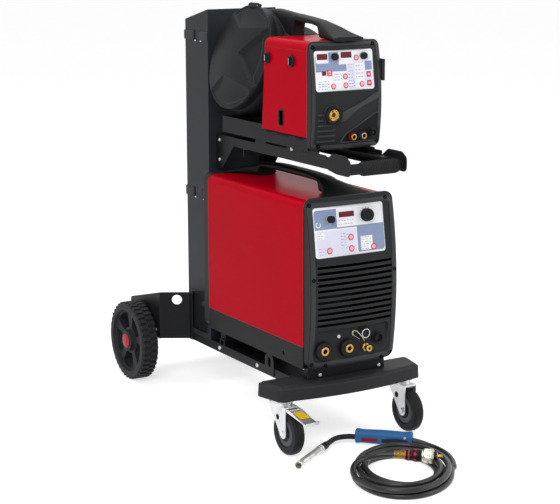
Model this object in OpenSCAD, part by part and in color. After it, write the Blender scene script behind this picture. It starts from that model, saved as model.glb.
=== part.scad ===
// Mobile MIG welding set: a power source on a wheeled bottle cart, a wire feeder on a shelf above it,
// and a welding torch with its coiled lead on the floor in front.
// Millimetres, +Z up, +Y to the rear. The origin is on the floor under the middle of the whole set.
// Inside the modules y = 0 is the foremost point of the power source; placed() moves it all to the origin.

/* [Wheels and casters] */
// Diameter of a rear wheel
wheel_d = 250; // [230:1:265]
// Width of a rear wheel
wheel_w = 56; // [46:1:60]
// Number of tread lugs round one row of a rear wheel
lug_count = 40; // [24:1:44]
// Diameter of the rear axle
axle_d = 20; // [16:1:24]
// Distance of the rear axle behind the front of the power source
axle_back = 930; // [905:1:950]
// Height of the caster plates' upper faces above the floor
caster_h = 155; // [152:1:165]
// Diameter of a caster wheel
caster_d = 125; // [110:1:126]
// Width of a caster wheel
caster_w = 32; // [26:1:36]
// Distance from a caster's swivel axis to its wheel axis
caster_lead = 35; // [28:1:38]
// Distance of each caster from the middle of the cart
caster_half = 200; // [188:1:206]

/* [Cart frame] */
// Thickness of the cart's steel sheet
sheet = 3; // [2.5:0.5:4]
// Half the width over the two rails and the column
rail_half = 118; // [112:1:122]
// Height of a rail
rail_h = 26; // [22:1:30]
// Width of a rail
rail_w = 70; // [50:1:80]
// Height of the front tray
tray_h = 40; // [36:1:46]
// Half the width of the front tray
tray_half = 258; // [252:1:262]
// How far the tray's front edge bows forwards
tray_bow = 28; // [20:1:36]
// Half the width over the rear side plates
plate_half = 200; // [190:1:206]
// Height of the column above the rails
column_h = 1012; // [980:1:1040]
// Depth of the column's side flanges
column_d = 142; // [130:1:148]
// Diameter of the lifting holes in the rear side plates
lift_hole_d = 31; // [25:1:36]
// Height of the shelf arms' upper faces above the floor
shelf_top = 816; // [806:1:826]
// Height of a shelf arm
arm_h = 26; // [22:1:30]
// Half the width over the two shelf arms
arm_half = 92; // [86:1:98]
// Diameter of the steering bar
bar_d = 30; // [26:1:32]
// Diameter of the rubber grip on the steering bar
grip_d = 40; // [36:1:44]
// Width of the bottle straps' webbing
strap_w = 28; // [22:1:32]

/* [Power source] */
// Width of the power source's casing
source_w = 290; // [284:1:300]
// Height of the power source's front moulding
source_h = 475; // [470:1:484]
// Length of the power source
source_len = 616; // [600:1:622]
// Height of the feet under the power source
foot_h = 35; // [30:1:40]
// Height of the dark skirt at the bottom of the casing
skirt_h = 62; // [54:1:70]
// Radius of the domed front
source_dome_r = 1200; // [1150:10:1400]
// Width of the control panel
panel_w = 229; // [221:1:233]
// Height of the control panel
panel_h = 138; // [132:1:142]
// Number of louvres in the front grille
louvre_count = 11; // [7:1:11]
// Distance from louvre to louvre
louvre_pitch = 16.3; // [15:0.1:16.4]
// Diameter of the large control knob
big_knob_d = 34; // [28:1:38]
// Diameter of the small control knob
small_knob_d = 20; // [16:1:22]
// Diameter of the bore of a welding current socket
dinse_bore = 13.2; // [10:0.2:15]
// Width of the carrying handle's grip
carry_w = 48; // [40:1:56]
// Height of the carrying handle above the casing
carry_h = 48; // [44:1:50]

/* [Wire feeder] */
// Width of the feeder's casing
feeder_w = 230; // [224:1:236]
// Height of the feeder's front moulding
feeder_h = 296; // [292:1:302]
// Radius of the feeder's domed front
feeder_dome_r = 700; // [680:10:900]
// Width of the feeder's control panel
feeder_panel_w = 189; // [184:1:192]
// Height of the feeder's control panel
feeder_panel_h = 110; // [106:1:113]
// Outer diameter of the wire spool
spool_d = 300; // [270:1:300]
// Bore of the wire spool
spool_bore = 52; // [50:0.5:56]
// Radial wall of the spool drum
drum_wall = 3; // [2.5:0.5:4]
// Depth of the spool drum
drum_depth = 105; // [102:1:108]
// Angle by which the spool drum leans back
drum_lean = 18; // [16:1:19]
// Diameter of the wire drive roll
roll_d = 37; // [30:1:40]

/* [Torch] */
// Length of the torch handle
grip_len = 162; // [150:1:168]
// Diameter of the torch's gas nozzle
nozzle_d = 22; // [20:1:24]
// Length of the gas nozzle
nozzle_len = 150; // [125:1:152]
// Diameter of the torch lead
lead_d = 16; // [14:1:16]

/* [Hidden] */
$fn = 64;

// Clearances
run_gap = 0.05;     // radial, a shaft in its bore
slide_gap = 0.3;    // between pieces that move past each other
past = 1;           // how far a cut runs past a face

// Cart
axle_z = wheel_d / 2;
caster_y = 62;                              // swivel axes
plate_t = 4;                                // caster plate
rail_z = caster_h - plate_t;                // underside of the rails
rail_top = rail_z + rail_h;
rail_front = 45;
column_y = source_len + 12;                 // front face of the column's web
rail_end = column_y + 137;
tray_top = caster_h + tray_h;
tray_side_y = 20;                           // front end of the tray's straight sides
tray_back = 118;
tray_round = 12;
column_top = rail_top + column_h;
plate_front = rail_end + 47;                          // where the rear side plates turn parallel
plate_back = plate_front + 207;
plate_top = rail_z + 149;
wheel_gap = 6;                              // side plate to wheel
wheel_in = plate_half + wheel_gap;
wheel_out = wheel_in + wheel_w;
cap_t = 4.5;
bar_y = -75;
bar_z = shelf_top - 19;

// Power source
source_z = tray_top + foot_h;               // underside of its chassis
source_top = source_z + 470;                // top of the red cover
front_z0 = source_z + 2;
front_z1 = front_z0 + source_h;
front_back = 44;                            // rear edge of the front moulding
rear_front = source_len - 30;               // front edge of the rear moulding
source_mid_z = source_z + 210;              // height of the foremost point
casing_t = 2.5;
wall = 6;                                   // thickness of the front mouldings
corner_r = 22;

// Feeder
feeder_z = shelf_top + 17;
feeder_y = 42;                              // foremost point
feeder_back = 73;                           // rear edge of the front moulding
feeder_mid_z = feeder_z + 127;
feeder_top = feeder_z + feeder_h;
base_h = 47;                                // height of the feeder's base
base_len = 550;
divider_x = -30;
wire_x = -49;                               // line of the welding wire
wire_z = feeder_z + 97;
door_z0 = feeder_z + 33;
door_z1 = feeder_z + 270.5;
cover_lean = 19;                            // how far the casing's rear edge leans from bottom to top
cover_back = 314;                           // its rear edge at the bottom
hinge_x = -feeder_w / 2 + 0.2;
hinge_z = door_z0 - 2;
latch_z = feeder_z + 239;
latch_y = [150, 278];

// Spool drum
drum_r = spool_d / 2 + 2 + drum_wall;
drum_at = [-100, 464, feeder_z + base_h + drum_r * cos(drum_lean) + drum_depth * sin(drum_lean)];
lid_hinge = drum_r + 4;

// Torch, on the floor
torch_at = [9, 10, 18];                     // front end of the handle
torch_turn = 136;                           // direction from the handle to the neck
neck_r = 52;
neck_turn = 78;
neck_pipe = 7;
neck_run = 46;
insulator_len = 36;
nozzle_tip = torch_point(neck_run + insulator_len + nozzle_len);
nozzle_dir = torch_turn + neck_turn;

// The whole set runs from the torch's nozzle to the back of the rear wheels
set_front = nozzle_tip[1] - nozzle_d / 2 * abs(cos(nozzle_dir));
set_back = axle_back + wheel_d / 2;
mid_y = (set_front + set_back) / 2;

// A point on the nozzle's axis, a run past the end of the neck's bend
function torch_point(run) = [
  torch_at[0] + 7 * cos(torch_turn) + neck_r * (sin(torch_turn + neck_turn) - sin(torch_turn))
    + run * cos(torch_turn + neck_turn),
  torch_at[1] + 7 * sin(torch_turn) - neck_r * (cos(torch_turn + neck_turn) - cos(torch_turn))
    + run * sin(torch_turn + neck_turn),
  torch_at[2]
];

module placed() {
  translate([0, -mid_y, 0]) children();
}

// A 2D shape in x and z, carried along y from y0 to y1
module along_y(y0, y1) {
  translate([0, y1, 0]) rotate([90, 0, 0]) linear_extrude(y1 - y0) children();
}

// A 2D shape in y and z, carried along x from x0 to x1
module along_x(x0, x1) {
  translate([x0, 0, 0]) rotate([90, 0, 90]) linear_extrude(x1 - x0) children();
}

module both_sides() {
  children();
  mirror([1, 0, 0]) children();
}

module rounded_rect(w, h, r) {
  offset(r = r, $fn = 32) square([w - 2 * r, h - 2 * r], center = true);
}

// A round rod along x
module rod_x(x0, x1, y, z, r) {
  translate([x0, y, z]) rotate([0, 90, 0]) cylinder(h = x1 - x0, r = r);
}

// A round rod along y
module rod_y(y0, y1, x, z, r) {
  translate([x, y1, z]) rotate([90, 0, 0]) cylinder(h = y1 - y0, r = r);
}

// ---------------------------------------------------------------- cart

// Two inverted channels, the front cross member that carries the casters, and the rear one under the source
module chassis_rails() {
  beam_half = caster_half + 28;
  beam_top = tray_top - sheet;
  color("#303236") placed() difference() {
    union() {
      both_sides() {
        along_y(rail_front, rail_end) difference() {
          translate([rail_half - rail_w, rail_z]) square([rail_w, rail_h]);
          translate([rail_half - rail_w + sheet, rail_z - past])
            square([rail_w - 2 * sheet, rail_h - sheet + past]);
        }
        along_x(rail_half, rail_half + sheet) lug();
      }
      intersection() {
        linear_extrude(tray_top) polygon([[-beam_half, caster_y + 31], [-beam_half, caster_y - 8],
          [16 - beam_half, caster_y - 31], [beam_half - 16, caster_y - 31],
          [beam_half, caster_y - 8], [beam_half, caster_y + 31]]);
        along_x(-beam_half - 1, beam_half + 1) difference() {
        translate([caster_y - 30, caster_h]) square([60, beam_top - caster_h]);
        translate([caster_y - 30 + sheet, caster_h + sheet])
          square([60 - 2 * sheet, beam_top - caster_h - 2 * sheet]);
        translate([caster_y - 17, caster_h - past]) square([34, sheet + 2 * past]);
        }
      }
      along_x(-rail_half, rail_half) difference() {
        translate([column_y - 87, rail_top]) square([28, tray_top - rail_top]);
        translate([column_y - 87 + sheet, rail_top - past])
          square([28 - 2 * sheet, tray_top - rail_top - sheet + past]);
      }
    }
    both_sides() translate([rail_half - rail_w / 2, column_y + 20, rail_top - sheet - past])
      linear_extrude(sheet + 2 * past) rounded_rect(rail_w - 34, 18, 8);
  }
}

// Lifting lug with a slotted hole, welded to a rail
module lug() {
  difference() {
    union() {
      translate([244, rail_z + 4]) square([48, rail_h + 16]);
      translate([268, rail_top + 20]) circle(r = 24);
    }
    hull() for (z = [9, 23]) translate([268, rail_top + z]) circle(r = 8, $fn = 32);
  }
}

// Outline of a rear side plate, seen from the side
module rear_plate_outline() {
  difference() {
    union() {
      offset(r = 12, $fn = 32) offset(delta = -12)
        polygon([[rail_end - 65, rail_z], [rail_end - 65, plate_top], [plate_front, plate_top],
            [plate_back, plate_top - 54], [plate_back, rail_z - 4], [plate_front + 38, rail_z - 4],
            [plate_front + 18, rail_z]]);
      hull() {
        translate([axle_back, axle_z]) circle(r = axle_d / 2 + 20, $fn = 32);
        translate([axle_back - 75, rail_z]) square([150, 12]);
      }
    }
    translate([rail_end - 75, rail_z - 40]) square([52, 400]);
  }
}

// The two side plates, the bottle platform between them and its turned-up rear lip
module rear_frame() {
  in_x = rail_half + sheet / 2;
  out_x = plate_half - sheet / 2;
  lean = atan2(plate_front - rail_end, plate_half - rail_half);
  hole_along = 0.42;
  color("#303236") placed() difference() {
    union() {
      both_sides() intersection() {
        along_x(rail_half, plate_half + past) rear_plate_outline();
        translate([0, 0, axle_z - axle_d / 2 - 24]) linear_extrude(plate_top - axle_z + axle_d / 2 + 30)
          bent_line([[in_x, rail_end - 30], [in_x, rail_end], [out_x, plate_front], [out_x, plate_back]],
               sheet);
      }
      translate([0, 0, rail_z]) linear_extrude(sheet)
        polygon([[-rail_half - 1, rail_end + 1], [-out_x, plate_front], [-out_x, plate_back - 2],
            [out_x, plate_back - 2], [out_x, plate_front], [rail_half + 1, rail_end + 1]]);
      along_x(-out_x, out_x) translate([plate_back - 2 - sheet, rail_z]) square([sheet, 22]);
    }
    both_sides() translate([rail_half + (plate_half - rail_half) * hole_along,
                rail_end + (plate_front - rail_end) * hole_along, plate_top - 24])
      rotate([0, 0, lean]) rotate([90, 0, 0])
        translate([0, 0, -20]) cylinder(h = 40, d = lift_hole_d);
    rod_x(-plate_half - past, plate_half + past, axle_back, axle_z, axle_d / 2 + run_gap);
  }
}

// A line of thickness t through 2D points, with mitred bends
function mitre(points, i) = let (
    a = unit(points[max(i, 1)] - points[max(i, 1) - 1]),
    b = unit(points[min(i, len(points) - 2) + 1] - points[min(i, len(points) - 2)]),
    m = unit(a + b)
  ) [-m[1], m[0]] / (m * a);
module bent_line(points, t) {
  n = len(points) - 1;
  polygon(concat([for (i = [0 : n]) points[i] + mitre(points, i) * t / 2],
         [for (i = [n : -1 : 0]) points[i] - mitre(points, i) * t / 2]));
}

// Plan of the tray, drawn in by d all round
module tray_plan(d) {
  front_half = tray_half - 22;
  offset(r = 18 - d, $fn = 32) offset(delta = -18) polygon(concat(
    [[tray_half, tray_back], [-tray_half, tray_back]],
    [for (i = [-8 : 8]) [front_half * i / 8, tray_side_y - tray_bow * (1 - i * i / 64)]]));
}

module tray_block(d, top) {
  hull() {
    translate([0, 0, caster_h - (d > 0 ? past : 0)]) linear_extrude(1) tray_plan(d);
    for (a = [30, 90]) translate([0, 0, top - 0.5 - (tray_round - d) * (1 - sin(a))])
      linear_extrude(0.5) tray_plan(d + (tray_round - d) * (1 - cos(a)));
  }
}

// Pressed tray over the front cross member, open underneath
module front_tray() {
  color("#2b2c2f") placed() difference() {
    tray_block(0, tray_top);
    tray_block(sheet, tray_top - sheet);
    both_sides() translate([rail_half - rail_w - 1, tray_back - 10, caster_h - 5])
      cube([rail_w + 2 + sheet, 20, rail_top - caster_h + 5 + slide_gap]);
  }
}

strap_z = [rail_top + 449, rail_top + 930];           // middle heights of the two straps
// where each strap dips through the flanges
strap_slots = [[column_y + 39, column_y + 92], [column_y + 48, column_y + 83]];
strap_t = 2.5;

// Channel column, open to the rear, with slots for the straps
module column() {
  color("#3a3f45") placed() difference() {
    union() {
      intersection() {
        difference() {
          translate([-rail_half, column_y, rail_top]) cube([2 * rail_half, column_d, column_h]);
          translate([-rail_half + sheet, column_y + sheet, rail_top - past])
            cube([2 * (rail_half - sheet), column_d, column_h + 2 * past]);
        }
        along_x(-rail_half, rail_half) difference() {
          polygon([[column_y, rail_top], [column_y, column_top],
              [column_y + column_d, column_top - 35], [column_y + column_d, rail_top]]);
          translate([column_y + 17, rail_top + 12])
            polygon([[0, 0], [column_d - 40, 0], [column_d - 40, 118], [0, 140]]);
        }
      }
      // return lips along the flanges' rear edges
      both_sides() translate([rail_half - 14, column_y + column_d - sheet, rail_top])
        cube([14, sheet, column_h - 36]);
    }
    for (i = [0, 1]) both_sides() for (y = strap_slots[i])
      translate([rail_half - sheet - 16, y - 7, strap_z[i] - strap_w / 2 - 3])
        cube([sheet + 20, 14, strap_w + 6]);
  }
}

// Two webbing straps that dip through the flanges and run across the open rear of the column
module bottle_straps() {
  out_x = rail_half + strap_t / 2 + 0.3;
  in_x = rail_half - sheet - strap_t / 2 - 0.5;
  back = column_y + column_d + 14;
  color("#1c1c1e") placed() for (i = [0, 1])
    translate([0, 0, strap_z[i] - strap_w / 2]) linear_extrude(strap_w) {
      both_sides() bent_line([[out_x, column_y - 2], [out_x, strap_slots[i][0] - 4],
            [in_x, strap_slots[i][0] + 4], [in_x, strap_slots[i][1] - 4],
            [out_x, strap_slots[i][1] + 4], [out_x, back - 12], [out_x - 4, back - 4],
            [out_x - 14, back]], strap_t);
      bent_line([[-out_x + 14, back], [out_x - 14, back]], strap_t);
    }
}

module rear_axle() {
  color("#8d9094") placed()
    rod_x(-wheel_out - 3, wheel_out + 3, axle_back, axle_z, axle_d / 2);
}

// One-piece moulded wheel, built round the x axis from its inner face outwards
module wheel_body() {
  rim_r = wheel_d / 2 - 6;
  hub_r = 32;
  rotate([90, 0, 90]) difference() {
    union() {
      rotate_extrude($fn = 96) polygon([[0, 0], [hub_r, 0], [hub_r, wheel_w * 0.32],
        [rim_r - 24, wheel_w * 0.24], [rim_r - 20, 0], [rim_r - 3, 0], [rim_r, 3],
        [rim_r, wheel_w - 3], [rim_r - 3, wheel_w], [rim_r - 20, wheel_w],
        [rim_r - 24, wheel_w * 0.82], [hub_r + 2, wheel_w * 0.74], [hub_r, wheel_w], [0, wheel_w]]);
      for (row = [0, 1]) translate([0, 0, row == 0 ? 4 : wheel_w / 2 + 1])
        linear_extrude(wheel_w / 2 - 5) for (i = [0 : lug_count - 1])
          rotate(360 / lug_count * (i + row / 2)) translate([rim_r - 1, 0])
            polygon([[0, -5.5], [7, -4.2], [7, 4.2], [0, 5.5]]);
    }
    for (i = [0 : 4]) rotate(72 * i + 60) translate([0, 0, -past])
      linear_extrude(wheel_w + 2 * past) wheel_window(rim_r);
    translate([0, 0, -past]) cylinder(h = wheel_w + 2 * past, d = axle_d + 2 * run_gap);
  }
}

// Rounded opening between two spokes
module wheel_window(rim_r) {
  offset(r = 7, $fn = 32) offset(delta = -7) intersection() {
    difference() {
      circle(r = rim_r - 27);
      circle(r = 42);
    }
    polygon([[0, 0], [120, -58], [120, 58]]);
  }
}

module rear_wheel(side) {
  placed() mirror([side < 0 ? 1 : 0, 0, 0]) translate([wheel_in, axle_back, axle_z]) wheel_body();
}

module rear_wheel_left() {
  color("#26272a") rear_wheel(-1);
}

module rear_wheel_right() {
  color("#26272a") rear_wheel(1);
}

// Push-on caps over the ends of the axle
module axle_caps() {
  color("#b8323a") placed() both_sides() translate([wheel_out + slide_gap, axle_back, axle_z])
    rotate([0, 90, 0]) difference() {
      intersection() {
        cylinder(h = cap_t, d = 44);
        translate([0, 0, cap_t - 90]) sphere(r = 90, $fn = 120);
      }
      translate([0, 0, -past]) cylinder(h = 3 - slide_gap + past + run_gap, d = axle_d + 2 * run_gap);
    }
}

// Fixed plates and upper race rings of the two casters
module caster_plates() {
  color("#c9ccd0") placed() both_sides() translate([caster_half, caster_y, 0]) difference() {
    union() {
      translate([0, 0, caster_h - plate_t]) linear_extrude(plate_t) rounded_rect(76, 58, 6);
      translate([0, 0, caster_h - plate_t - 7]) cylinder(h = 7, d1 = 56, d2 = 62);
    }
    translate([0, 0, caster_h - 20]) cylinder(h = 30, d = 12 + 2 * run_gap);
    for (x = [-30, 30], y = [-21.5, 21.5])
      translate([x, y, caster_h - 10]) cylinder(h = 20, d = 8.5, $fn = 32);
  }
}

// Swivel fork with its king pin and wheel bolt, at the swivel axis
module caster_fork() {
  leg_in = caster_w / 2 + 2;
  crown = caster_h - plate_t - 13;
  wheel_y = -caster_lead;
  wheel_z = caster_d / 2;
  union() {
    // legs
    both_sides() along_x(leg_in, leg_in + sheet) difference() {
      hull() {
        translate([wheel_y, wheel_z]) circle(r = 15, $fn = 32);
        translate([-49, crown - 4]) square([87, 4]);
      }
      translate([-8, crown - 34]) circle(r = 9, $fn = 32);
    }
    // crown, lower race and king pin
    translate([-leg_in - sheet, -49, crown - sheet]) cube([2 * (leg_in + sheet), 87, sheet]);
    translate([0, 0, crown - sheet]) cylinder(h = sheet + 5.6, d = 58);
    cylinder_between(crown, caster_h + 3, 6);
    translate([0, 0, caster_h + slide_gap]) cylinder(h = 5, d = 19, $fn = 6);
    // wheel bolt with its head and nut
    rod_x(-leg_in - sheet, leg_in + sheet, wheel_y, wheel_z, 5);
    both_sides() translate([leg_in + sheet, wheel_y, wheel_z]) rotate([0, 90, 0])
      cylinder(h = 5, d = 17, $fn = 6);
  }
}

module cylinder_between(z0, z1, r) {
  translate([0, 0, z0]) cylinder(h = z1 - z0, r = r);
}

module caster_fork_left() {
  color("#d4d7da") placed() translate([-caster_half, caster_y, 0]) difference() {
    caster_fork();
    rod_x(-60, 60, brake_pivot[0], brake_pivot[1], 3 + run_gap);
  }
}

module caster_fork_right() {
  color("#d4d7da") placed() translate([caster_half, caster_y, 0]) caster_fork();
}

// Rubber-tyred caster wheel
module caster_wheel() {
  r = caster_d / 2;
  half = caster_w / 2;
  translate([0, -caster_lead, r]) rotate([0, 90, 0]) rotate_extrude($fn = 96) difference() {
    polygon([[0, -half - 1.7], [11, -half - 1.7], [14, -half + 4], [r * 0.62, -half + 4],
        [r * 0.66, -half], [r * 0.9, -half], [r * 0.975, -half * 0.72], [r, -half * 0.3],
        [r, half * 0.3], [r * 0.975, half * 0.72], [r * 0.9, half], [r * 0.66, half],
        [r * 0.62, half - 4], [14, half - 4], [11, half + 1.7], [0, half + 1.7]]);
    translate([0, -half - 5]) square([5 + run_gap, caster_w + 10]);
  }
}

module caster_wheel_left() {
  color("#2a2b2d") placed() translate([-caster_half, caster_y, 0]) caster_wheel();
}

module caster_wheel_right() {
  color("#2a2b2d") placed() translate([caster_half, caster_y, 0]) caster_wheel();
}

brake_pivot = [-24, caster_h - 24.5];       // from the swivel axis: y and height of the pedal's pivot

// Foot pedal of the left caster's brake, on a pin through the fork
module brake_pedal() {
  drop = 14;
  tip = -158;
  neck_half = caster_w / 2 + 1.2;
  color("#c9ccd0") placed() translate([-caster_half, caster_y, 0]) {
    rod_x(-caster_w / 2 - 6, caster_w / 2 + 6, brake_pivot[0], brake_pivot[1], 3);
    translate([0, 0, brake_pivot[1]]) {
      along_x(-neck_half, neck_half) translate([brake_pivot[0], 0]) circle(r = 3.8, $fn = 32);
      along_x(-neck_half, neck_half)
        polygon([[brake_pivot[0], -2], [brake_pivot[0], 2], [-53, 1.5], [-53, -2]]);
      along_x(-20, 20) union() {
        polygon([[-51.5, -2], [-51.5, 1.5], [tip, -drop + 2], [tip, -drop - 1.5]]);
        polygon([[tip, -drop - 1.5], [tip + 3, -drop + 2], [tip - 1, -drop + 9],
            [tip - 4, -drop + 8]]);
      }
      both_sides() along_x(17, 20)
        polygon([[-51.5, -2], [-51.5, 6], [-70, 6], [tip + 30, -drop + 5], [tip, -drop - 1]]);
    }
  }
}

// Channel arms with upstands for the feeder, gussets at the column and the steering bar
module shelf_frame() {
  arm_in = arm_half - 30;
  color("#303236") placed() union() {
    both_sides() {
      along_y(-40, column_y) difference() {
        translate([arm_in, shelf_top - arm_h]) square([30, arm_h]);
        translate([arm_in - past, shelf_top - arm_h + sheet])
          square([30 - sheet + past, arm_h - 2 * sheet]);
      }
      // rounded cheek that holds the steering bar
      along_x(arm_half - sheet, arm_half) offset(r = 14, $fn = 32) offset(delta = -14)
        polygon([[bar_y - 31, bar_z - 15], [bar_y - 31, shelf_top + 6], [bar_y - 8, shelf_top + 20],
            [-20, shelf_top + 20], [10, shelf_top], [10, shelf_top - arm_h],
            [-40, bar_z - 15]]);
      // upstand under the feeder, with a long slot
      along_x(arm_half - sheet, arm_half) difference() {
        polygon([[129, shelf_top - 1], [135, feeder_z], [388, feeder_z], [394, shelf_top - 1]]);
        hull() for (y = [215, 330]) translate([y, shelf_top + 8]) circle(r = 3, $fn = 32);
      }
      translate([arm_in, 135, feeder_z - sheet]) cube([30, 253, sheet]);
      // gusset and end plate at the column
      along_x(arm_half - sheet, arm_half)
        polygon([[column_y, shelf_top - arm_h], [520, shelf_top - arm_h], [592, shelf_top - 101],
            [column_y, shelf_top - 101]]);
      translate([arm_in, column_y - sheet, shelf_top - 101]) cube([30, sheet, 101]);
    }
    // cross angle under the arms
    translate([-arm_half + sheet, 465, shelf_top - arm_h - 25]) cube([2 * (arm_half - sheet), sheet, 25]);
    translate([-arm_half + sheet, 448, shelf_top - arm_h - sheet])
      cube([2 * (arm_half - sheet), 20, sheet]);
    rod_x(-arm_half + 1, arm_half - 1, bar_y, bar_z, bar_d / 2);
  }
}

// Ribbed rubber grip on the right-hand part of the steering bar
module handle_grip() {
  x0 = -40;
  x1 = arm_half - sheet - 1;
  rib = 8;
  n = floor((x1 - x0 - 24) / rib);
  r = grip_d / 2;
  color("#232325") placed() translate([x0, bar_y, bar_z]) rotate([0, 90, 0]) difference() {
    rotate_extrude($fn = 64) union() {
      polygon([[0, 0], [r - 4, 0], [r - 1.5, 5], [r - 1.5, x1 - x0 - 10], [r - 5, x1 - x0 - 2],
          [r - 9, x1 - x0], [0, x1 - x0]]);
      for (i = [0 : n - 1]) translate([r - 2, 10 + i * rib]) square([2, rib - 2.5]);
    }
    translate([0, 0, -past]) cylinder(h = x1 - x0 + 2 * past, r = bar_d / 2 + run_gap);
  }
}

// ---------------------------------------------------------------- power source

// Floor pan with the dark skirt, its feet and the inverter stack inside
module source_chassis() {
  half = source_w / 2;
  color("#2b2d31") placed() union() {
    difference() {
      along_y(front_back + slide_gap, rear_front - slide_gap) difference() {
        translate([-half, source_z]) square([source_w, skirt_h]);
        translate([-half + casing_t, source_z + casing_t]) square([source_w - 2 * casing_t, skirt_h]);
      }
      rod_x(-half - past, half + past, 148, source_z + 22, 6);
    }
    for (x = [-98, 98], y = [75, source_len - 61])
      translate([x - 16, y - 14, tray_top]) cube([32, 28, foot_h + 1]);
    // sill that closes the front between the tray and the casing
    translate([17 - half, 46, tray_top]) cube([2 * half - 34, 16, foot_h + 1]);
    // inverter stack: transformer block and finned heat sinks standing on the pan
    translate([-60, 120, source_z]) cube([120, 150, 180]);
    along_y(300, source_len - 96) union() {
      translate([-100, source_z]) square([200, 14]);
      for (i = [0 : 12]) translate([-99 + i * 16, source_z]) square([6, 150]);
    }
  }
}

// Red sheet-steel cover over the top and both sides
module source_cover() {
  half = source_w / 2;
  color("#b00020") placed() along_y(front_back + slide_gap, rear_front - slide_gap) difference() {
    cover_outline(half, source_z + skirt_h, source_top, corner_r);
    cover_outline(half - casing_t, source_z + skirt_h - past, source_top - casing_t, corner_r - casing_t);
  }
}

// Inverted U with rounded shoulders, in x and z
module cover_outline(half, z0, z1, r) {
  union() {
    translate([-half, z0]) square([2 * half, z1 - z0 - r]);
    translate([-half + r, z1 - r - past]) square([2 * (half - r), r + past]);
    for (s = [-1, 1]) translate([s * (half - r), z1 - r]) circle(r = r, $fn = 64);
  }
}

// Frame of the source's control panel: x across, y up the panel, z out of it
panel_x = -9.5;
panel_z = source_mid_z + 174;
source_tilt = asin((panel_z - source_mid_z) / source_dome_r);
panel_sink = 6.6;                           // the panel's face lies this far under the dome's crown
panel_t = 3;

module source_panel_frame() {
  translate([panel_x, source_dome_r * (1 - cos(source_tilt)), panel_z]) rotate([90 - source_tilt, 0, 0])
    translate([0, 0, -panel_sink]) children();
}

// A prism with rounded corners, behind a dome that stands r in front of its centre
module domed_block(half, z0, z1, y_dome, y1, mid_z, dome_r, r) {
  intersection() {
    along_y(y_dome - 3, y1) translate([0, (z0 + z1) / 2]) rounded_rect(2 * half, z1 - z0, r);
    translate([0, y_dome + dome_r, mid_z]) sphere(r = dome_r, $fn = 240);
  }
}

source_keys = [[-69.5, -51.5], [2.5, -20], [2.5, -51.5], [75.5, -53.5]];
source_knobs = [[-60.5, 34.4], [57.5, 36.4]];
key_d = 12;
feeder_keys = [[40.5, 32.3], [1.5, -17], [-38.5, -42.3], [1.5, -41.3], [54.5, -40.3]];
feeder_knobs = [[-30.5, 37.3], [63.5, 36.3]];
feeder_knob_d = 18;
feeder_key_d = 11;

// Domed front moulding: panel pocket, louvres and the sunk socket field
module source_front() {
  half = source_w / 2 - 2;
  recess_z0 = source_z + 20;
  recess_z1 = source_z + 111;
  color("#35373a") placed() difference() {
    domed_block(half, front_z0, front_z1, 0, front_back, source_mid_z, source_dome_r, corner_r);
    // hollow behind the panel and the grille, with a ledge left round the panel
    difference() {
      domed_block(half - 7, recess_z1 + 7, front_z1 - 7, wall, front_back + past, source_mid_z,
            source_dome_r, corner_r - 7);
      source_panel_frame() translate([0, 0, -panel_t - 5]) linear_extrude(9)
        rounded_rect(panel_w + 16, panel_h + 12, 8);
    }
    source_panel_frame() {
      translate([0, 0, -panel_t]) linear_extrude(30)
        rounded_rect(panel_w + 2 * slide_gap, panel_h + 2 * slide_gap, 8);
      translate([0, 0, -40]) linear_extrude(45) rounded_rect(panel_w - 8, panel_h - 8, 4);
    }
    // louvres
    for (i = [0 : louvre_count - 1])
      along_y(-5, front_back - 12) translate([3.5, recess_z1 + 9 + 4.5 + i * louvre_pitch])
        rounded_rect(249, 8.5, 3.5);
    // sunk field for the sockets
    along_y(-5, 17) translate([-3.5, (recess_z0 + recess_z1) / 2])
      rounded_rect(241, recess_z1 - recess_z0, 12);
    along_y(26, front_back + past) translate([0, (front_z0 + 12 + recess_z1) / 2])
      rounded_rect(2 * half - 16, recess_z1 - front_z0 - 12, 6);
    for (p = dinse_at) rod_y(0, 40, p[0], source_z + p[1], 19);
    rod_y(0, 40, gas_at[0], source_z + gas_at[1], 7);
    rod_y(0, 40, control_at[0], source_z + control_at[1], 12);
    rod_y(0, 40, remote_at[0], source_z + remote_at[1], 12);
  }
}

dinse_at = [[-98, 53], [-18, 51]];
gas_at = [42, 45];
control_at = [38, 86];
remote_at = [82, 67];
field_y = 17;                               // floor of the socket field

// Two welding current sockets, control and remote sockets and the coolant coupling
module source_sockets() {
  color("#c9a23c") placed() {
    for (p = dinse_at) translate([p[0], 0, source_z + p[1]]) difference() {
      union() {
        rod_y(field_y - 14, field_y, 0, 0, 26);
        rod_y(field_y - 16, field_y - 10, 0, 0, 12.5);
        rod_y(field_y - 1, field_y + 38, 0, 0, 18.7);
      }
      rod_y(field_y - 20, field_y + 24, 0, 0, dinse_bore / 2);
    }
    translate([gas_at[0], 0, source_z + gas_at[1]]) difference() {
      union() {
        rotate([90, 0, 0]) translate([0, 0, -field_y]) cylinder(h = 8, d = 24, $fn = 6);
        rod_y(field_y - 22, field_y - 6, 0, 0, 8);
        rod_y(field_y - 25, field_y - 20, 0, 0, 9.5);
        rod_y(field_y - 1, field_y + 25, 0, 0, 6.7);
      }
      rod_y(field_y - 30, field_y + 10, 0, 0, 4);
    }
    translate([control_at[0], 0, source_z + control_at[1]]) round_socket(field_y, 14, 11.7)
      along_y(field_y - 3, field_y) rounded_rect(33, 33, 3);
    translate([remote_at[0], 0, source_z + remote_at[1]]) round_socket(field_y, 14, 11.7)
      rod_y(field_y - 4, field_y, 0, 0, 18);
  }
}

// Hollow collar in front of a wall at y, with its flange as the child and a stub through the wall
module round_socket(y, r, stub_r) {
  difference() {
    union() {
      children();
      rod_y(y - 13, y - 1, 0, 0, r);
      rod_y(y - 2, y + 20, 0, 0, stub_r);
    }
    rod_y(y - 20, y - 4, 0, 0, r - 3);
  }
}

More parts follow.
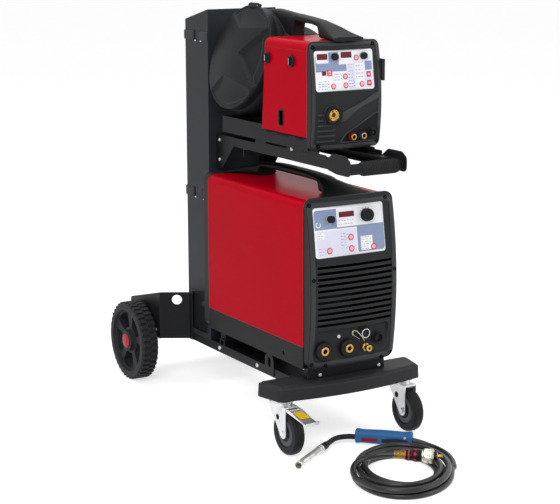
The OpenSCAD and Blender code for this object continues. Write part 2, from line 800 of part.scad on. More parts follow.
// Rear moulding with the fan louvres, the mains gland and the boss of the main switch
module source_rear() {
  half = source_w / 2 - 1;
  z0 = front_z0;
  z1 = source_top + 3;
  color("#35373a") placed() difference() {
    union() {
      along_y(rear_front, source_len) translate([0, (z0 + z1) / 2])
        rounded_rect(2 * half, z1 - z0, corner_r);
      rod_y(source_len - 1, source_len + 26, -131, source_z + 60, 9);
    }
    along_y(rear_front - past, source_len - 5) translate([0, (z0 + z1) / 2])
      rounded_rect(2 * half - 12, z1 - z0 - 12, corner_r - 6);
    for (i = [-6 : 6]) along_y(rear_front, source_len + 5) translate([0, source_z + 190 + i * 17])
      rounded_rect(2 * sqrt(118 * 118 - i * i * 17 * 17), 8, 3.5);
    rod_y(source_len - 20, source_len + 5, 75, source_z + 400, 6 + run_gap);
    rod_y(source_len - 20, source_len + 30, -131, source_z + 60, 5);
  }
}

// Rotary main switch on the rear
module main_switch() {
  y = source_len + slide_gap;
  color("#1d1d1f") placed() translate([75, 0, source_z + 400]) union() {
    rod_y(source_len - 12, y + 1, 0, 0, 6);
    rod_y(source_len - 12, source_len - 5.3, 0, 0, 9);
    rod_y(y, y + 4, 0, 0, 22);
    along_y(y + 3, y + 9.5) rounded_rect(9, 42, 4);
  }
}

// A flat panel with holes for its keys and knob spindles, in its own frame
module panel_plate(w, h, keys, kd, knobs) {
  difference() {
    translate([0, 0, -panel_t]) linear_extrude(panel_t) rounded_rect(w, h, 8);
    for (p = keys) translate([p[0], p[1], -panel_t - past])
      cylinder(h = panel_t + 2 * past, d = kd + 2 * slide_gap);
    for (p = knobs) translate([p[0], p[1], -panel_t - past])
      cylinder(h = panel_t + 2 * past, r = 3 + run_gap);
  }
}

module source_panel() {
  color("#e4e6f0") placed() source_panel_frame()
    panel_plate(panel_w, panel_h, source_keys, key_d, source_knobs);
}

// Key with a flange behind the panel
module key(d, p) {
  translate([p[0], p[1], 0]) union() {
    translate([0, 0, -panel_t - slide_gap - 1.5]) cylinder(h = 1.5, d = d + 4);
    translate([0, 0, -panel_t - slide_gap - 1]) cylinder(h = panel_t + slide_gap + 2.2, d = d);
    translate([0, 0, 1]) cylinder(h = 0.8, d1 = d, d2 = d - 1.4);
  }
}

// Fluted knob on a spindle, with a pointer rib
module knob(d, h, p) {
  translate([p[0], p[1], 0]) union() {
    translate([0, 0, slide_gap]) linear_extrude(h * 0.3) circle(d = d * 1.08);
    translate([0, 0, slide_gap + h * 0.3 - 0.5]) linear_extrude(h * 0.7) difference() {
      circle(d = d);
      for (i = [0 : 17]) rotate(20 * i) translate([d / 2 + d * 0.03, 0]) circle(d = d * 0.1, $fn = 13);
    }
    translate([-d * 0.035, 0, h - 0.4]) cube([d * 0.07, d * 0.42, 1.2]);
    translate([0, 0, -panel_t - 4]) cylinder(h = panel_t + 5, r = 3);
    translate([0, 0, -panel_t - 5]) cylinder(h = 5 - slide_gap, r = 5);
  }
}

module source_knob_small() {
  color("#1a1a1c") placed() source_panel_frame() knob(small_knob_d, 12, source_knobs[0]);
}
module source_knob_large() {
  color("#1a1a1c") placed() source_panel_frame() knob(big_knob_d, 16, source_knobs[1]);
}

module source_key(i) {
  color("#e9e4e6") placed() source_panel_frame() key(key_d, source_keys[i]);
}

module source_button_1() { source_key(0); }
module source_button_2() { source_key(1); }
module source_button_3() { source_key(2); }
module source_button_4() { source_key(3); }

// Numeric display windows on both panels
module displays() {
  color("#7a1118") placed() {
    source_panel_frame() display([-7, 44.5], 49, 15);
    feeder_panel_frame() {
      display([-69.5, 38.8], 33, 16);
      display([8, 41.3], 34, 16);
      display([-66.5, -6], 13, 11);
    }
  }
}

module display(p, w, h) {
  translate([p[0], p[1], 0]) linear_extrude(1.2) rounded_rect(w, h, 1.5);
}

// Moulded carrying handle: an arch from front to rear whose feet widen on the cover
module source_handle() {
  y0 = front_back + 2;
  y1 = rear_front - 2;
  mid = (y0 + y1) / 2;
  len_half = (y1 - y0) / 2;
  foot_lift = 8;
  gap_h = carry_h - 20;
  n = 24;
  color("#232427") placed() intersection() {
    along_x(-76, 76) difference() {
      polygon(concat(
        [for (i = [0 : n]) let (s = -1 + 2 * i / n)
          [mid + s * len_half,
          source_top + foot_lift + (carry_h - foot_lift) * (1 - pow(abs(s), 3.2))]],
        [[y1, source_top], [y0, source_top]]));
      translate([0, source_top - 20]) offset(r = 14, $fn = 32)
        translate([y0 + 102, 14]) square([y1 - y0 - 204, gap_h + 20 - 28]);
    }
    translate([0, 0, source_top - past]) linear_extrude(carry_h + 2 * past)
      polygon(concat(
        [for (i = [0 : n]) let (s = -1 + 2 * i / n)
          [carry_w / 2 + (75 - carry_w / 2) * pow(abs(s), 4), mid + s * len_half]],
        [for (i = [n : -1 : 0]) let (s = -1 + 2 * i / n)
          [-carry_w / 2 - (75 - carry_w / 2) * pow(abs(s), 4), mid + s * len_half]]));
  }
}

// ---------------------------------------------------------------- wire feeder

function cover_edge(z) = cover_back - cover_lean * (z - feeder_z - 31) / (feeder_h - 33);

// Base channel, the upright divider and the hinge knuckles of the door
module feeder_chassis() {
  half = feeder_w / 2 - 3;
  color("#2b2d31") placed() difference() {
    union() {
      difference() {
        translate([-half, feeder_back + slide_gap, feeder_z])
          cube([2 * half, base_len - feeder_back, base_h]);
        translate([-half + sheet, feeder_back - past, feeder_z + sheet])
          cube([2 * (half - sheet), base_len - feeder_back - sheet, base_h]);
      }
      along_x(divider_x, divider_x + sheet) polygon([[feeder_back + 3, feeder_z + 1],
        [feeder_back + 3, feeder_top - 11], [cover_edge(feeder_top) - 8, feeder_top - 11],
        [cover_edge(feeder_z + base_h) - 8, feeder_z + base_h], [280, feeder_z + 1]]);
      for (y = [[131, 160], [230, 259]]) {
        rod_y(y[0], y[1], hinge_x, hinge_z, 2.4);
        translate([hinge_x, y[0], hinge_z - 2.4]) cube([3, y[1] - y[0], 2]);
      }
      rod_y(100, 290, hinge_x, hinge_z, 1.2);
    }
    // way through the divider for the drive motor's shaft
    rod_x(divider_x - past, divider_x + sheet + past, drive_y, wire_z - roll_d / 2 - 0.6, 6);
  }
}

// Red cover: top, right side, the left shoulder and the leaning rear wall
module feeder_cover() {
  half = feeder_w / 2;
  top = feeder_top - 1;
  t = 3;
  color("#b00020") placed() difference() {
    cover_body(half, feeder_back + slide_gap, top, 0);
    cover_body(half - t, feeder_back - past, top - t, t);
    translate([-half - past, 0, feeder_z]) cube([t + past, 400, door_z1 + 0.5 - feeder_z]);
    translate([t - half, 0, feeder_z]) cube([2 * (half - t), 400, base_h]);
    rod_y(250, 330, wire_x, wire_z, 14);
  }
}

// The casing's inside or outside, with its leaning rear edge moved forwards by t
module cover_body(half, y0, top, t) {
  intersection() {
    along_y(y0, cover_back + 10) cover_outline(half, feeder_z + 31 - t, top, corner_r - 2 - t);
    along_x(-half - 1, half + 1) polygon([[y0 - 1, feeder_z + 25], [y0 - 1, top + 1],
      [cover_edge(top + 1) - t, top + 1], [cover_edge(feeder_z + 25) - t, feeder_z + 25]]);
  }
}

// Hinged side door with its inspection slot
module feeder_door() {
  x0 = -feeder_w / 2;
  t = 2.8;
  color("#b00020") placed() difference() {
    union() {
      along_x(x0, x0 + t) difference() {
        polygon([[feeder_back + 0.5, door_z0], [feeder_back + 0.5, door_z1],
            [cover_edge(door_z1) - 0.5, door_z1], [cover_edge(door_z0) - 0.5, door_z0]]);
        translate([208, feeder_z + 77]) rounded_rect(24, 42, 6);
        for (y = [[130, 161], [229, 260]])
          translate([y[0], door_z0 - past]) square([y[1] - y[0], 2.5 + past]);
      }
      for (y = [[101, 130], [161, 229], [260, 289]]) {
        rod_y(y[0], y[1], hinge_x, hinge_z, 2.4);
        translate([x0, y[0], hinge_z]) cube([2, y[1] - y[0], 3]);
      }
    }
    rod_y(95, 295, hinge_x, hinge_z, 1.2 + run_gap);
    for (y = latch_y) rod_x(x0 - past, x0 + t + past, y, latch_z, 5 + run_gap);
  }
}

// Quarter-turn latch with a wing, at height latch_z
module latch(y) {
  x0 = -feeder_w / 2;
  placed() translate([x0, y, latch_z]) rotate([0, -90, 0]) union() {
    translate([0, 0, slide_gap]) cylinder(h = 4, d1 = 28, d2 = 26);
    translate([0, 0, 4]) linear_extrude(5) rounded_rect(24, 8, 3.5);
    translate([0, 0, -7]) cylinder(h = 8, r = 5);
    translate([0, 0, -6.5]) cylinder(h = 3.2, r = 9);
  }
}

module latch_front() {
  color("#202124") latch(latch_y[0]);
}

module latch_rear() {
  color("#202124") latch(latch_y[1]);
}

feeder_panel_x = -5.5;
feeder_panel_z = feeder_mid_z + 90;
feeder_tilt = asin((feeder_panel_z - feeder_mid_z) / feeder_dome_r);
feeder_sink = 7.4;

module feeder_panel_frame() {
  translate([feeder_panel_x, feeder_y + feeder_dome_r * (1 - cos(feeder_tilt)), feeder_panel_z])
    rotate([90 - feeder_tilt, 0, 0]) translate([0, 0, -feeder_sink]) children();
}

// Domed front moulding with the panel pocket, cooling ribs, a sweeping ridge and the coupling recess
module feeder_front() {
  half = feeder_w / 2;
  color("#35373a") placed() {
    difference() {
      union() {
        domed_block(half, feeder_z + 1, feeder_top, feeder_y, feeder_back, feeder_mid_z,
              feeder_dome_r, 18);
        rod_y(feeder_dome(wire_x, wire_z) - 2.5, feeder_back - 5, wire_x, wire_z, 28);
        // raised ribs and ridge
        intersection() {
          along_y(feeder_y - 5, feeder_back - 4) union() {
            for (i = [0 : 5]) translate([-67 + i * 1.5, feeder_z + 25 + i * 14.5])
              rounded_rect(56 - i * 3, 5, 2);
            bent_line([for (i = [0 : 10]) let (s = i / 10)
              [-19 + 128 * s, feeder_z + 95 + 53 * (3 * s * s - 2 * s * s * s)]], 8);
          }
          translate([0, feeder_y - 1.6 + feeder_dome_r, feeder_mid_z])
            sphere(r = feeder_dome_r, $fn = 240);
        }
      }
      difference() {
        domed_block(half - 7, feeder_z + 8, feeder_top - 7, feeder_y + wall + 8, feeder_back + past,
              feeder_mid_z, feeder_dome_r, 11);
        feeder_panel_frame() translate([0, 0, -panel_t - 5]) linear_extrude(9)
          rounded_rect(feeder_panel_w + 16, feeder_panel_h + 12, 8);
      }
      feeder_panel_frame() {
        translate([0, 0, -panel_t]) linear_extrude(30)
          rounded_rect(feeder_panel_w + 2 * slide_gap, feeder_panel_h + 2 * slide_gap, 8);
        translate([0, 0, -40]) linear_extrude(45)
          rounded_rect(feeder_panel_w - 8, feeder_panel_h - 8, 4);
      }
      // recess of the couplings
      along_y(feeder_y - 5, feeder_y + 10) offset(r = 5, $fn = 32) offset(delta = -5)
        polygon([for (p = coupling_recess) [p[0], feeder_z + p[1]]]);
      rod_y(feeder_y - 5, feeder_back + 5, wire_x, wire_z, 18.3);
      for (i = [0 : 2]) rod_y(feeder_y, feeder_back + 5, couplings[i][0], feeder_z + couplings[i][1], 7.3);
    }
    // hinge block on the right-hand side
    along_y(feeder_back - 26, feeder_back) translate([half + 3.5, feeder_z + 212]) rounded_rect(8, 60, 2.5);
  }
}

coupling_recess = [[-22, 19], [-6, 42], [90, 95], [109, 95], [109, 19]];
couplings = [[17, 33], [50, 34], [82, 41]];

module feeder_panel() {
  color("#e4e6f0") placed() feeder_panel_frame()
    panel_plate(feeder_panel_w, feeder_panel_h, feeder_keys, feeder_key_d, feeder_knobs);
}

module feeder_knob_left() {
  color("#1a1a1c") placed() feeder_panel_frame() knob(feeder_knob_d, 11, feeder_knobs[0]);
}

module feeder_knob_right() {
  color("#1a1a1c") placed() feeder_panel_frame() knob(feeder_knob_d, 11, feeder_knobs[1]);
}

module feeder_key(i) {
  color("#e9e4e6") placed() feeder_panel_frame() key(feeder_key_d, feeder_keys[i]);
}

module feeder_button_1() { feeder_key(0); }
module feeder_button_2() { feeder_key(1); }
module feeder_button_3() { feeder_key(2); }
module feeder_button_4() { feeder_key(3); }
module feeder_button_5() { feeder_key(4); }

// Depth of the feeder's dome at x, z
function feeder_dome(x, z) = feeder_y + feeder_dome_r
  - sqrt(pow(feeder_dome_r, 2) - x * x - pow(z - feeder_mid_z, 2));

// Central torch socket: flange, brass body and wire bore
module euro_socket() {
  y = feeder_dome(wire_x, wire_z);
  color("#c9a23c") placed() difference() {
    union() {
      rod_y(y - 3, y + 60, wire_x, wire_z, 18);
      difference() {
        rod_y(y - 8.5, y - 2.5, wire_x, wire_z, 26);
        rod_y(y - 9.5, y - 5, wire_x, wire_z, 17);
      }
    }
    rod_y(y - 12, y + 16, wire_x + 3, wire_z, 6);
    rod_y(y + 10, y + 70, wire_x, wire_z, 2);
  }
}

// Two coolant couplings and a round control socket
module water_couplings() {
  y = feeder_y + 10;
  color("#c9a23c") placed() {
    for (i = [0, 1]) translate([couplings[i][0], 0, feeder_z + couplings[i][1]]) difference() {
      union() {
        rod_y(y - 4, y, 0, 0, 11);
        rod_y(y - 16, y - 3, 0, 0, 8.5);
        rod_y(y - 12, y - 8, 0, 0, 10.5);
        rod_y(y - 1, y + 22, 0, 0, 7);
      }
      rod_y(y - 20, y + 5, 0, 0, 5);
    }
    translate([couplings[2][0], 0, feeder_z + couplings[2][1]]) round_socket(y, 11, 7)
      rod_y(y - 3, y, 0, 0, 14);
  }
}

// Frame of the leaning drum: x up the drum's face, y to the rear, z outwards
module drum_frame() {
  translate(drum_at) rotate([0, drum_lean - 90, 0]) children();
}

// Moulded drum with its spindle, the fairing towards the casing and the feeder's handle
module spool_housing() {
  color("#2b2c2f") placed() {
    difference() {
      union() {
        drum_frame() translate([0, 0, -drum_depth]) cylinder(h = drum_depth, r = drum_r, $fn = 128);
        fairing();
        drum_frame() difference() {
          for (s = [-1, 1]) hull() {
            translate([drum_r - 6, s * 27 - 4, -10]) cube([3, 8, 8]);
            translate([lid_hinge, s * 27 + 4, 0]) rotate([90, 0, 0])
              cylinder(h = 8, r = 3.5, $fn = 32);
          }
          translate([0, 0, -0.5]) cylinder(h = 20, r = drum_r + 0.6, $fn = 128);
        }
      }
      drum_frame() translate([0, 0, -drum_depth + drum_wall])
        cylinder(h = drum_depth + 40, r = drum_r - drum_wall, $fn = 128);
      drum_frame() translate([lid_hinge, 40, 0]) rotate([90, 0, 0]) cylinder(h = 80, r = 1.5 + run_gap);
      // tunnel for the wire towards the drive
      rod_y(290, 400, wire_x, wire_z, 14);
    }
    drum_frame() translate([0, 0, -drum_depth + drum_wall - 0.5]) difference() {
      cylinder(h = drum_depth - drum_wall - 5, r = spool_bore / 2 - run_gap);
      translate([0, 0, drum_wall + 4]) cylinder(h = drum_depth, r = spool_bore / 2 - 6);
    }
  }
}

// Fairing between the casing and the drum, with the arched handle over the casing
module fairing() {
  top = feeder_top;
  front = slide_gap;
  along_x(-40, 98) polygon([[cover_edge(feeder_z + base_h) + front, feeder_z + base_h],
    [cover_edge(top - 1) + front, top - 1], [330, top + 24], [440, top + 20], [500, top - 60],
    [500, feeder_z + base_h]]);
  intersection() {
    translate([0, 0, top - 41]) linear_extrude(150) polygon([[-52, 40], [46, 40], [24, 150],
      [22, 170], [22, 500], [-22, 500], [-22, 170], [-24, 150]]);
    along_x(-52, 46) difference() {
    offset(r = 6, $fn = 32) offset(delta = -6) polygon([
      [44, top], [44, top + 6], [95, top + 13], [125, top + 24], [155, top + 37], [190, top + 46],
      [224, top + 52], [280, top + 58], [345, top + 64], [413, top + 70], [470, top + 60],
      [480, top - 30], [302, top - 30], [302, top]]);
    translate([0, top - 20]) offset(r = 10, $fn = 32) translate([174, 10]) polygon(
      [[0, 0], [0, 38], [30, 44], [114, 49], [114, 0]]);
    translate([280, top - 40]) square([cover_edge(top) + front - 280, 40]);
    }
  }
}

// Hinged dished lid of the drum with three raised swirls
module spool_lid() {
  rise = 12;
  edge = 8;
  dome_r = (drum_r * drum_r + rise * rise) / (2 * rise);
  color("#303134") placed() drum_frame() difference() {
    union() {
      intersection() {
        translate([0, 0, slide_gap]) cylinder(h = edge + rise + 1, r = drum_r, $fn = 128);
        translate([0, 0, edge + rise - dome_r]) sphere(r = dome_r, $fn = 300);
      }
      intersection() {
        linear_extrude(edge + rise + 6) for (i = [0 : 2]) rotate(120 * i + 20) swirl();
        translate([0, 0, edge + rise + 3.5 - dome_r]) sphere(r = dome_r, $fn = 300);
      }
      // hinge knuckle
      hull() {
        translate([drum_r - 6, -22, 2]) cube([3, 44, 5]);
        translate([lid_hinge, 22, 0]) rotate([90, 0, 0]) cylinder(h = 44, r = 3.5, $fn = 32);
      }
    }
    intersection() {
      translate([0, 0, -past]) cylinder(h = edge + rise, r = drum_r - 5, $fn = 128);
      translate([0, 0, edge + rise - 5 - dome_r]) sphere(r = dome_r, $fn = 300);
    }
    translate([lid_hinge, 40, 0]) rotate([90, 0, 0]) cylinder(h = 80, r = 1.5 + run_gap);
    translate([0, 0, -drum_depth]) cylinder(h = drum_depth + slide_gap, r = drum_r + 0.5);
  }
}

// One arm of the swirl: a crescent that widens towards the rim
module swirl() {
  difference() {
    intersection() {
      translate([0, 52]) circle(r = 84);
      circle(r = drum_r - 12);
    }
    translate([16, 44]) circle(r = 84);
    circle(r = 26);
  }
}

// Wire spool with its wound pack of wire, on the spindle
module wire_spool() {
  w = drum_depth - drum_wall - 7;
  r = spool_d / 2;
  color("#b87a4b") placed() drum_frame() translate([0, 0, -drum_depth + drum_wall + slide_gap])
    rotate_extrude($fn = 128) polygon([[spool_bore / 2, 0], [r, 0], [r, 4], [r - 18, 4], [r - 18, w - 4],
                    [r, w - 4], [r, w], [spool_bore / 2, w]]);
}

drive_y = 170;                              // the drive roll's axis

// Drive plate, gear motor behind the divider and wire guides
module wire_drive() {
  roll_r = roll_d / 2;
  x0 = divider_x - 8;
  color("#6e7276") placed() difference() {
    union() {
      along_x(x0, divider_x) translate([172, wire_z]) rounded_rect(116, 120, 8);
      rod_x(divider_x + sheet, divider_x + sheet + 84, drive_y, wire_z - roll_r - 0.6, 30);
      rod_x(wire_x - 10, divider_x + sheet + 1, drive_y, wire_z - roll_r - 0.6, 4);
      rod_x(wire_x - 12, wire_x - 6.3, drive_y, wire_z - roll_r - 0.6, 7);
      rod_x(wire_x - 10, x0 + 1, 222, wire_z + 30, 4);
      for (y = [[120, 146], [196, 240]]) {
        rod_y(y[0], y[1], wire_x, wire_z, 4.5);
        translate([wire_x, y[0] + 4, wire_z - 3]) cube([x0 - wire_x + 1, y[1] - y[0] - 8, 6]);
      }
    }
    rod_y(100, 260, wire_x, wire_z, 1.5);
  }
}

// Grooved drive roll on the motor's shaft
module feed_roll() {
  roll_r = roll_d / 2;
  color("#b9bdc1") placed() translate([wire_x, drive_y, wire_z - roll_r - 0.6]) rotate([0, 90, 0])
    rotate_extrude($fn = 64) polygon([[4 + run_gap, -6], [roll_r, -6], [roll_r, -1], [roll_r - 1, 0],
                    [roll_r, 1], [roll_r, 6], [4 + run_gap, 6]]);
}

// Swinging pressure arm with its idler roll and tension screw
module pressure_arm() {
  color("#4a4d52") placed() difference() {
    union() {
      along_x(wire_x - 5, wire_x + 5) hull() {
        translate([222, wire_z + 30]) circle(r = 9, $fn = 32);
        translate([125, wire_z + 27]) circle(r = 8, $fn = 32);
      }
      rod_x(wire_x - 6, wire_x + 6, drive_y, wire_z + 17.5, 16.5);
      translate([wire_x, 128, wire_z + 30]) cylinder(h = 26, r = 9);
      translate([wire_x, 128, wire_z + 52]) cylinder(h = 12, r = 11);
    }
    rod_x(wire_x - 20, wire_x + 20, 222, wire_z + 30, 4 + run_gap);
  }
}

// ---------------------------------------------------------------- torch and lead

// Frame at the handle's front end: x towards the neck, y to the left of it
module torch_frame() {
  translate(torch_at) rotate([0, 0, torch_turn]) children();
}

// Swan neck, ribbed insulator and the gas nozzle, on the floor
module torch_neck() {
  color("#c8cacc") placed() torch_frame() {
    rod_x(-14, 9, 0, 0, neck_pipe + 1);
    translate([7, neck_r, 0]) rotate([0, 0, -90]) rotate_extrude(angle = neck_turn, $fn = 96)
      translate([neck_r, 0]) circle(r = neck_pipe, $fn = 32);
    translate([7, neck_r, 0]) rotate([0, 0, neck_turn]) translate([0, -neck_r, 0]) {
      rod_x(-2, neck_run, 0, 0, neck_pipe + 1);
      rotate([0, 90, 0]) rotate_extrude($fn = 48) polygon([
        [0, neck_run - 1], [neck_pipe + 1.6, neck_run - 1], [9.5, neck_run + 4], [9, neck_run + 14],
        [11.5, neck_run + 17], [11.5, neck_run + 21], [9, neck_run + 23],
        [9, neck_run + insulator_len], [0, neck_run + insulator_len]]);
      translate([neck_run + insulator_len, 0, 0]) rotate([0, 90, 0]) rotate_extrude($fn = 64)
        nozzle_profile();
    }
  }
}

// Half section of the gas nozzle: collar, barrel and drawn-in mouth
module nozzle_profile() {
  r = nozzle_d / 2;
  polygon([[0, -1], [r + 1, -1], [r + 1, 5], [r, 6], [r, 11], [r + 1, 12], [r + 1, 16], [r, 17],
      [r - 0.6, nozzle_len - 26], [r - 2.5, nozzle_len - 20], [r, nozzle_len - 8], [r, nozzle_len],
      [r - 3, nozzle_len], [r - 4, nozzle_len - 12], [0, nozzle_len - 14]]);
}

// Moulded handle with a flared front collar and a slot for the trigger
module torch_handle() {
  color("#2f62a8") placed() torch_frame() difference() {
    union() {
      translate([-grip_len, 0, 0]) rotate([90, 0, 90]) linear_extrude(grip_len) rounded_rect(31, 34, 11);
      translate([-14, 0, 0]) rotate([90, 0, 90]) linear_extrude(14) rounded_rect(33, 36, 11);
      translate([-grip_len, 0, 0]) rotate([90, 0, 90]) linear_extrude(16) rounded_rect(33, 36, 11);
    }
    rod_x(-16, past, 0, 0, neck_pipe + 1 + run_gap);
    rod_x(-grip_len - past, -grip_len + 20, 0, 0, lead_d / 2 + run_gap);
    translate([-68, 4, -4.3]) cube([50, 20, 8.6]);
    translate([-61, 9, -20]) cylinder(h = 40, r = 1.5 + run_gap);
  }
}

// Trigger on a cross pin, on the inner side of the neck's bend
module torch_trigger() {
  color("#c0303c") placed() torch_frame() {
    translate([0, 0, -4]) linear_extrude(8) offset(r = 1.5, $fn = 32) offset(delta = -1.5)
      polygon([[-66, 6], [-66, 16.5], [-50, 19.5], [-24, 22], [-20, 20], [-20, 12], [-52, 6]]);
    translate([-61, 9, -12]) cylinder(h = 24, r = 1.5);
  }
}

// Oval coil on the floor: wound inwards on the floor, up half a turn, and outwards on top
coil_at = [-33, -270];
coil_angle = -35;                           // direction of the short half axis
coil_short = [135, 95];                     // outer and inner short half axes, on the lead's centre line
coil_long = [195, 120];                     // outer and inner long half axes
turns_in = 2;
turns_up = 0.5;
turns_out = 1.889;
turns = turns_in + turns_up + turns_out;
layer_gap = 0.5;
rings_per_turn = 24;
lead_r = lead_d / 2;

// How far in the winding is after u turns, from 0 outside to 1 inside
function coil_in(u) = u < turns_in ? u / turns_in
  : u < turns_in + turns_up ? 1
  : 1 - (u - turns_in - turns_up) / turns_out;
function coil_climb(u) = let (s = min(1, max(0, (u - turns_in) / turns_up))) s * s * (3 - 2 * s);
function coil_point(u) = let (
    w = coil_in(u),
    a = (coil_short[0] - w * (coil_short[0] - coil_short[1])) * cos(-360 * u),
    b = (coil_long[0] - w * (coil_long[0] - coil_long[1])) * sin(-360 * u)
  ) [
    coil_at[0] + a * cos(coil_angle) - b * sin(coil_angle),
    coil_at[1] + a * sin(coil_angle) + b * cos(coil_angle),
    lead_r + (lead_d + layer_gap) * coil_climb(u)
  ];
function unit(v) = v / norm(v);
coil_start_dir = unit(coil_point(0.001) - coil_point(0));
coil_end_dir = unit(coil_point(turns) - coil_point(turns - 0.001));
coil_first = coil_point(0) - lead_d * coil_start_dir;
coil_last = coil_point(turns) + lead_d * coil_end_dir;
coil_rings = ceil(turns * rings_per_turn);
coil_path = concat([coil_first], [for (i = [0 : coil_rings]) coil_point(turns * i / coil_rings)],
  [coil_last]);

// Free stretches of the lead: from the handle to the coil, and from the coil to the plug
function on_grip(x) = [torch_at[0] + x * cos(torch_turn), torch_at[1] + x * sin(torch_turn), torch_at[2]];
lead_route = [[142, -124, 15], [152, -140, 11], [159, -160, 9], [161, -182, 8],
  [159, -205, 8], [154, -228, 8], [146, -251, 8], [136, -273, 8], [124, -294, 8], [111, -313, 8]];
// in the coil's own axes: across, along, height
tail_route = [[-118, -98, 25], [-125, -74, 30], [-124, -48, 36], [-114, -25, 42], [-96, -7, 45],
  [-74, 4, 48], [-50, 8, 51], [-26, 7, 52.5]];
plug_start = [-12, 6];
plug_dir = -3;                              // heading of the plug, in the coil's axes
plug_z = 2 * lead_d + layer_gap + 20.5;

function coil_axes(p) = [
  coil_at[0] + p[0] * cos(coil_angle) - p[1] * sin(coil_angle),
  coil_at[1] + p[0] * sin(coil_angle) + p[1] * cos(coil_angle), p[2]];
lead_path = concat([on_grip(19 - grip_len), on_grip(-2 - grip_len)], lead_route,
  [coil_first - lead_d * coil_start_dir, coil_first]);
tail_path = concat([coil_last, coil_last + 0.6 * lead_d * coil_end_dir],
  [for (p = tail_route) coil_axes(p)],
  [coil_axes([plug_start[0] - 8, plug_start[1] + 0.4, plug_z]),
   coil_axes([plug_start[0], plug_start[1], plug_z])]);

// Tube of n sides along a path, closed at both ends
function tangent(path, i) = let (last = len(path) - 1)
  unit(i == 0 ? path[1] - path[0] : i == last ? path[last] - path[last - 1] : unit(path[i + 1] - path[i])
    + unit(path[i] - path[i - 1]));
function tube_rings(path, r, n) = [for (i = [0 : len(path) - 1]) let (
    t = tangent(path, i),
    side = unit(cross([0, 0, 1], t)),
    up = cross(t, side)
  ) for (k = [0 : n - 1]) path[i] + r * (cos(360 * k / n) * side + sin(360 * k / n) * up)];
module tube(path, r, n) {
  m = len(path);
  polyhedron(points = tube_rings(path, r, n), faces = concat(
    [[for (k = [n - 1 : -1 : 0]) k]],
    [for (i = [0 : m - 2], k = [0 : n - 1]) let (a = i * n + k, b = i * n + (k + 1) % n) each
      [[a, b, b + n], [a, b + n, a + n]]],
    [[for (k = [0 : n - 1]) (m - 1) * n + k]]));
}

function path_length(path) = [for (i = [1 : len(path) - 1]) norm(path[i] - path[i - 1])]
  * [for (i = [1 : len(path) - 1]) 1];
// Least distance between centre lines more than three quarters of a turn apart, less one diameter
function coil_self_gap() = min([for (i = [0 : 2 : coil_rings], j = [i + 18 : 1 : coil_rings])
  norm(coil_path[i] - coil_path[j])]) - lead_d;

module torch_lead() {
  color("#232325") placed() {
    tube(lead_path, lead_r, 10);
    tube(tail_path, lead_r, 10);
  }
}

module torch_coil() {
  echo(coil_self_gap = coil_self_gap(), coil_length = path_length(coil_path));
  color("#232325") placed() tube(coil_path, lead_r, 6);
}

// Torch plug: bend relief, grip body, union nut and contact end
module euro_plug() {
  color("#b9b09a") placed() translate(coil_axes([plug_start[0], plug_start[1], plug_z]))
    rotate([0, 0, coil_angle + plug_dir]) rotate([0, 90, 0]) rotate_extrude($fn = 48)
      polygon([[0, run_gap], [lead_r + 0.5, run_gap], [11, 26], [14, 30], [14, 44], [17, 47], [17, 66],
           [15, 68],
          [15, 72], [20, 74], [20, 98], [18, 100], [13, 101], [13, 108], [10, 109], [5, 110],
          [5, 122], [0, 123]]);
}

chassis_rails();
rear_frame();
front_tray();
column();
bottle_straps();
rear_axle();
rear_wheel_left();
rear_wheel_right();
axle_caps();
caster_plates();
caster_fork_left();
caster_fork_right();
caster_wheel_left();
caster_wheel_right();
brake_pedal();
shelf_frame();
handle_grip();
source_chassis();
source_cover();
source_front();
source_rear();
source_panel();
source_handle();
displays();
source_sockets();
source_knob_small();
source_knob_large();
source_button_1();
source_button_2();
source_button_3();
source_button_4();
main_switch();
feeder_chassis();
feeder_cover();
feeder_door();
latch_front();
latch_rear();
feeder_front();
feeder_panel();
feeder_knob_left();
feeder_knob_right();
feeder_button_1();
feeder_button_2();
feeder_button_3();
feeder_button_4();
feeder_button_5();
euro_socket();
water_couplings();
spool_housing();
spool_lid();
wire_spool();
wire_drive();
feed_roll();
pressure_arm();
torch_neck();
torch_handle();
torch_trigger();
torch_lead();
torch_coil();
euro_plug();
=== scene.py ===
import bmesh
import bpy
import numpy as np
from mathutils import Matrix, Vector


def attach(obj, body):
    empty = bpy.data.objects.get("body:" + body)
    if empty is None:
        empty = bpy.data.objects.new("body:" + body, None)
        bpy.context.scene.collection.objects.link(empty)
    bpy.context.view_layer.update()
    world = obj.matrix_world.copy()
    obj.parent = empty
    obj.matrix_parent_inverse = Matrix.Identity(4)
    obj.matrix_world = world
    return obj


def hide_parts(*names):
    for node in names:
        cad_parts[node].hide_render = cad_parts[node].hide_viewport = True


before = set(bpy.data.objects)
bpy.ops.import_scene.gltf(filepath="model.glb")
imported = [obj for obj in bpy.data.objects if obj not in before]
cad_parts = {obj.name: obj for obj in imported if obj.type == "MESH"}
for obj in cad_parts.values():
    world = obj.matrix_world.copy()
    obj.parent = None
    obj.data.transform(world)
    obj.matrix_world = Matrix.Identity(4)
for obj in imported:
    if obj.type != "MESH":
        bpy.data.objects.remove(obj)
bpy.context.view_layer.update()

# ---- The view of the whole set
# Seen from the front left and a little above, through a long lens held off its middle.


def show(name, data):
    """A new object of the scene."""
    shown = bpy.data.objects.new(name, data)
    bpy.context.scene.collection.objects.link(shown)
    return shown


camera = show("camera", bpy.data.cameras.new("camera"))
bpy.context.scene.camera = camera
camera.location = (-2.3828, -4.0417, 1.4593)
camera.rotation_euler = (Vector((0, -0.16836, 0.6)) - camera.location).to_track_quat("-Z", "Y").to_euler()
camera.data.sensor_width = 36
camera.data.lens = 102.54
camera.data.shift_x, camera.data.shift_y = -19 / 560, -34 / 560
bpy.context.scene.view_settings.view_transform = "Standard"

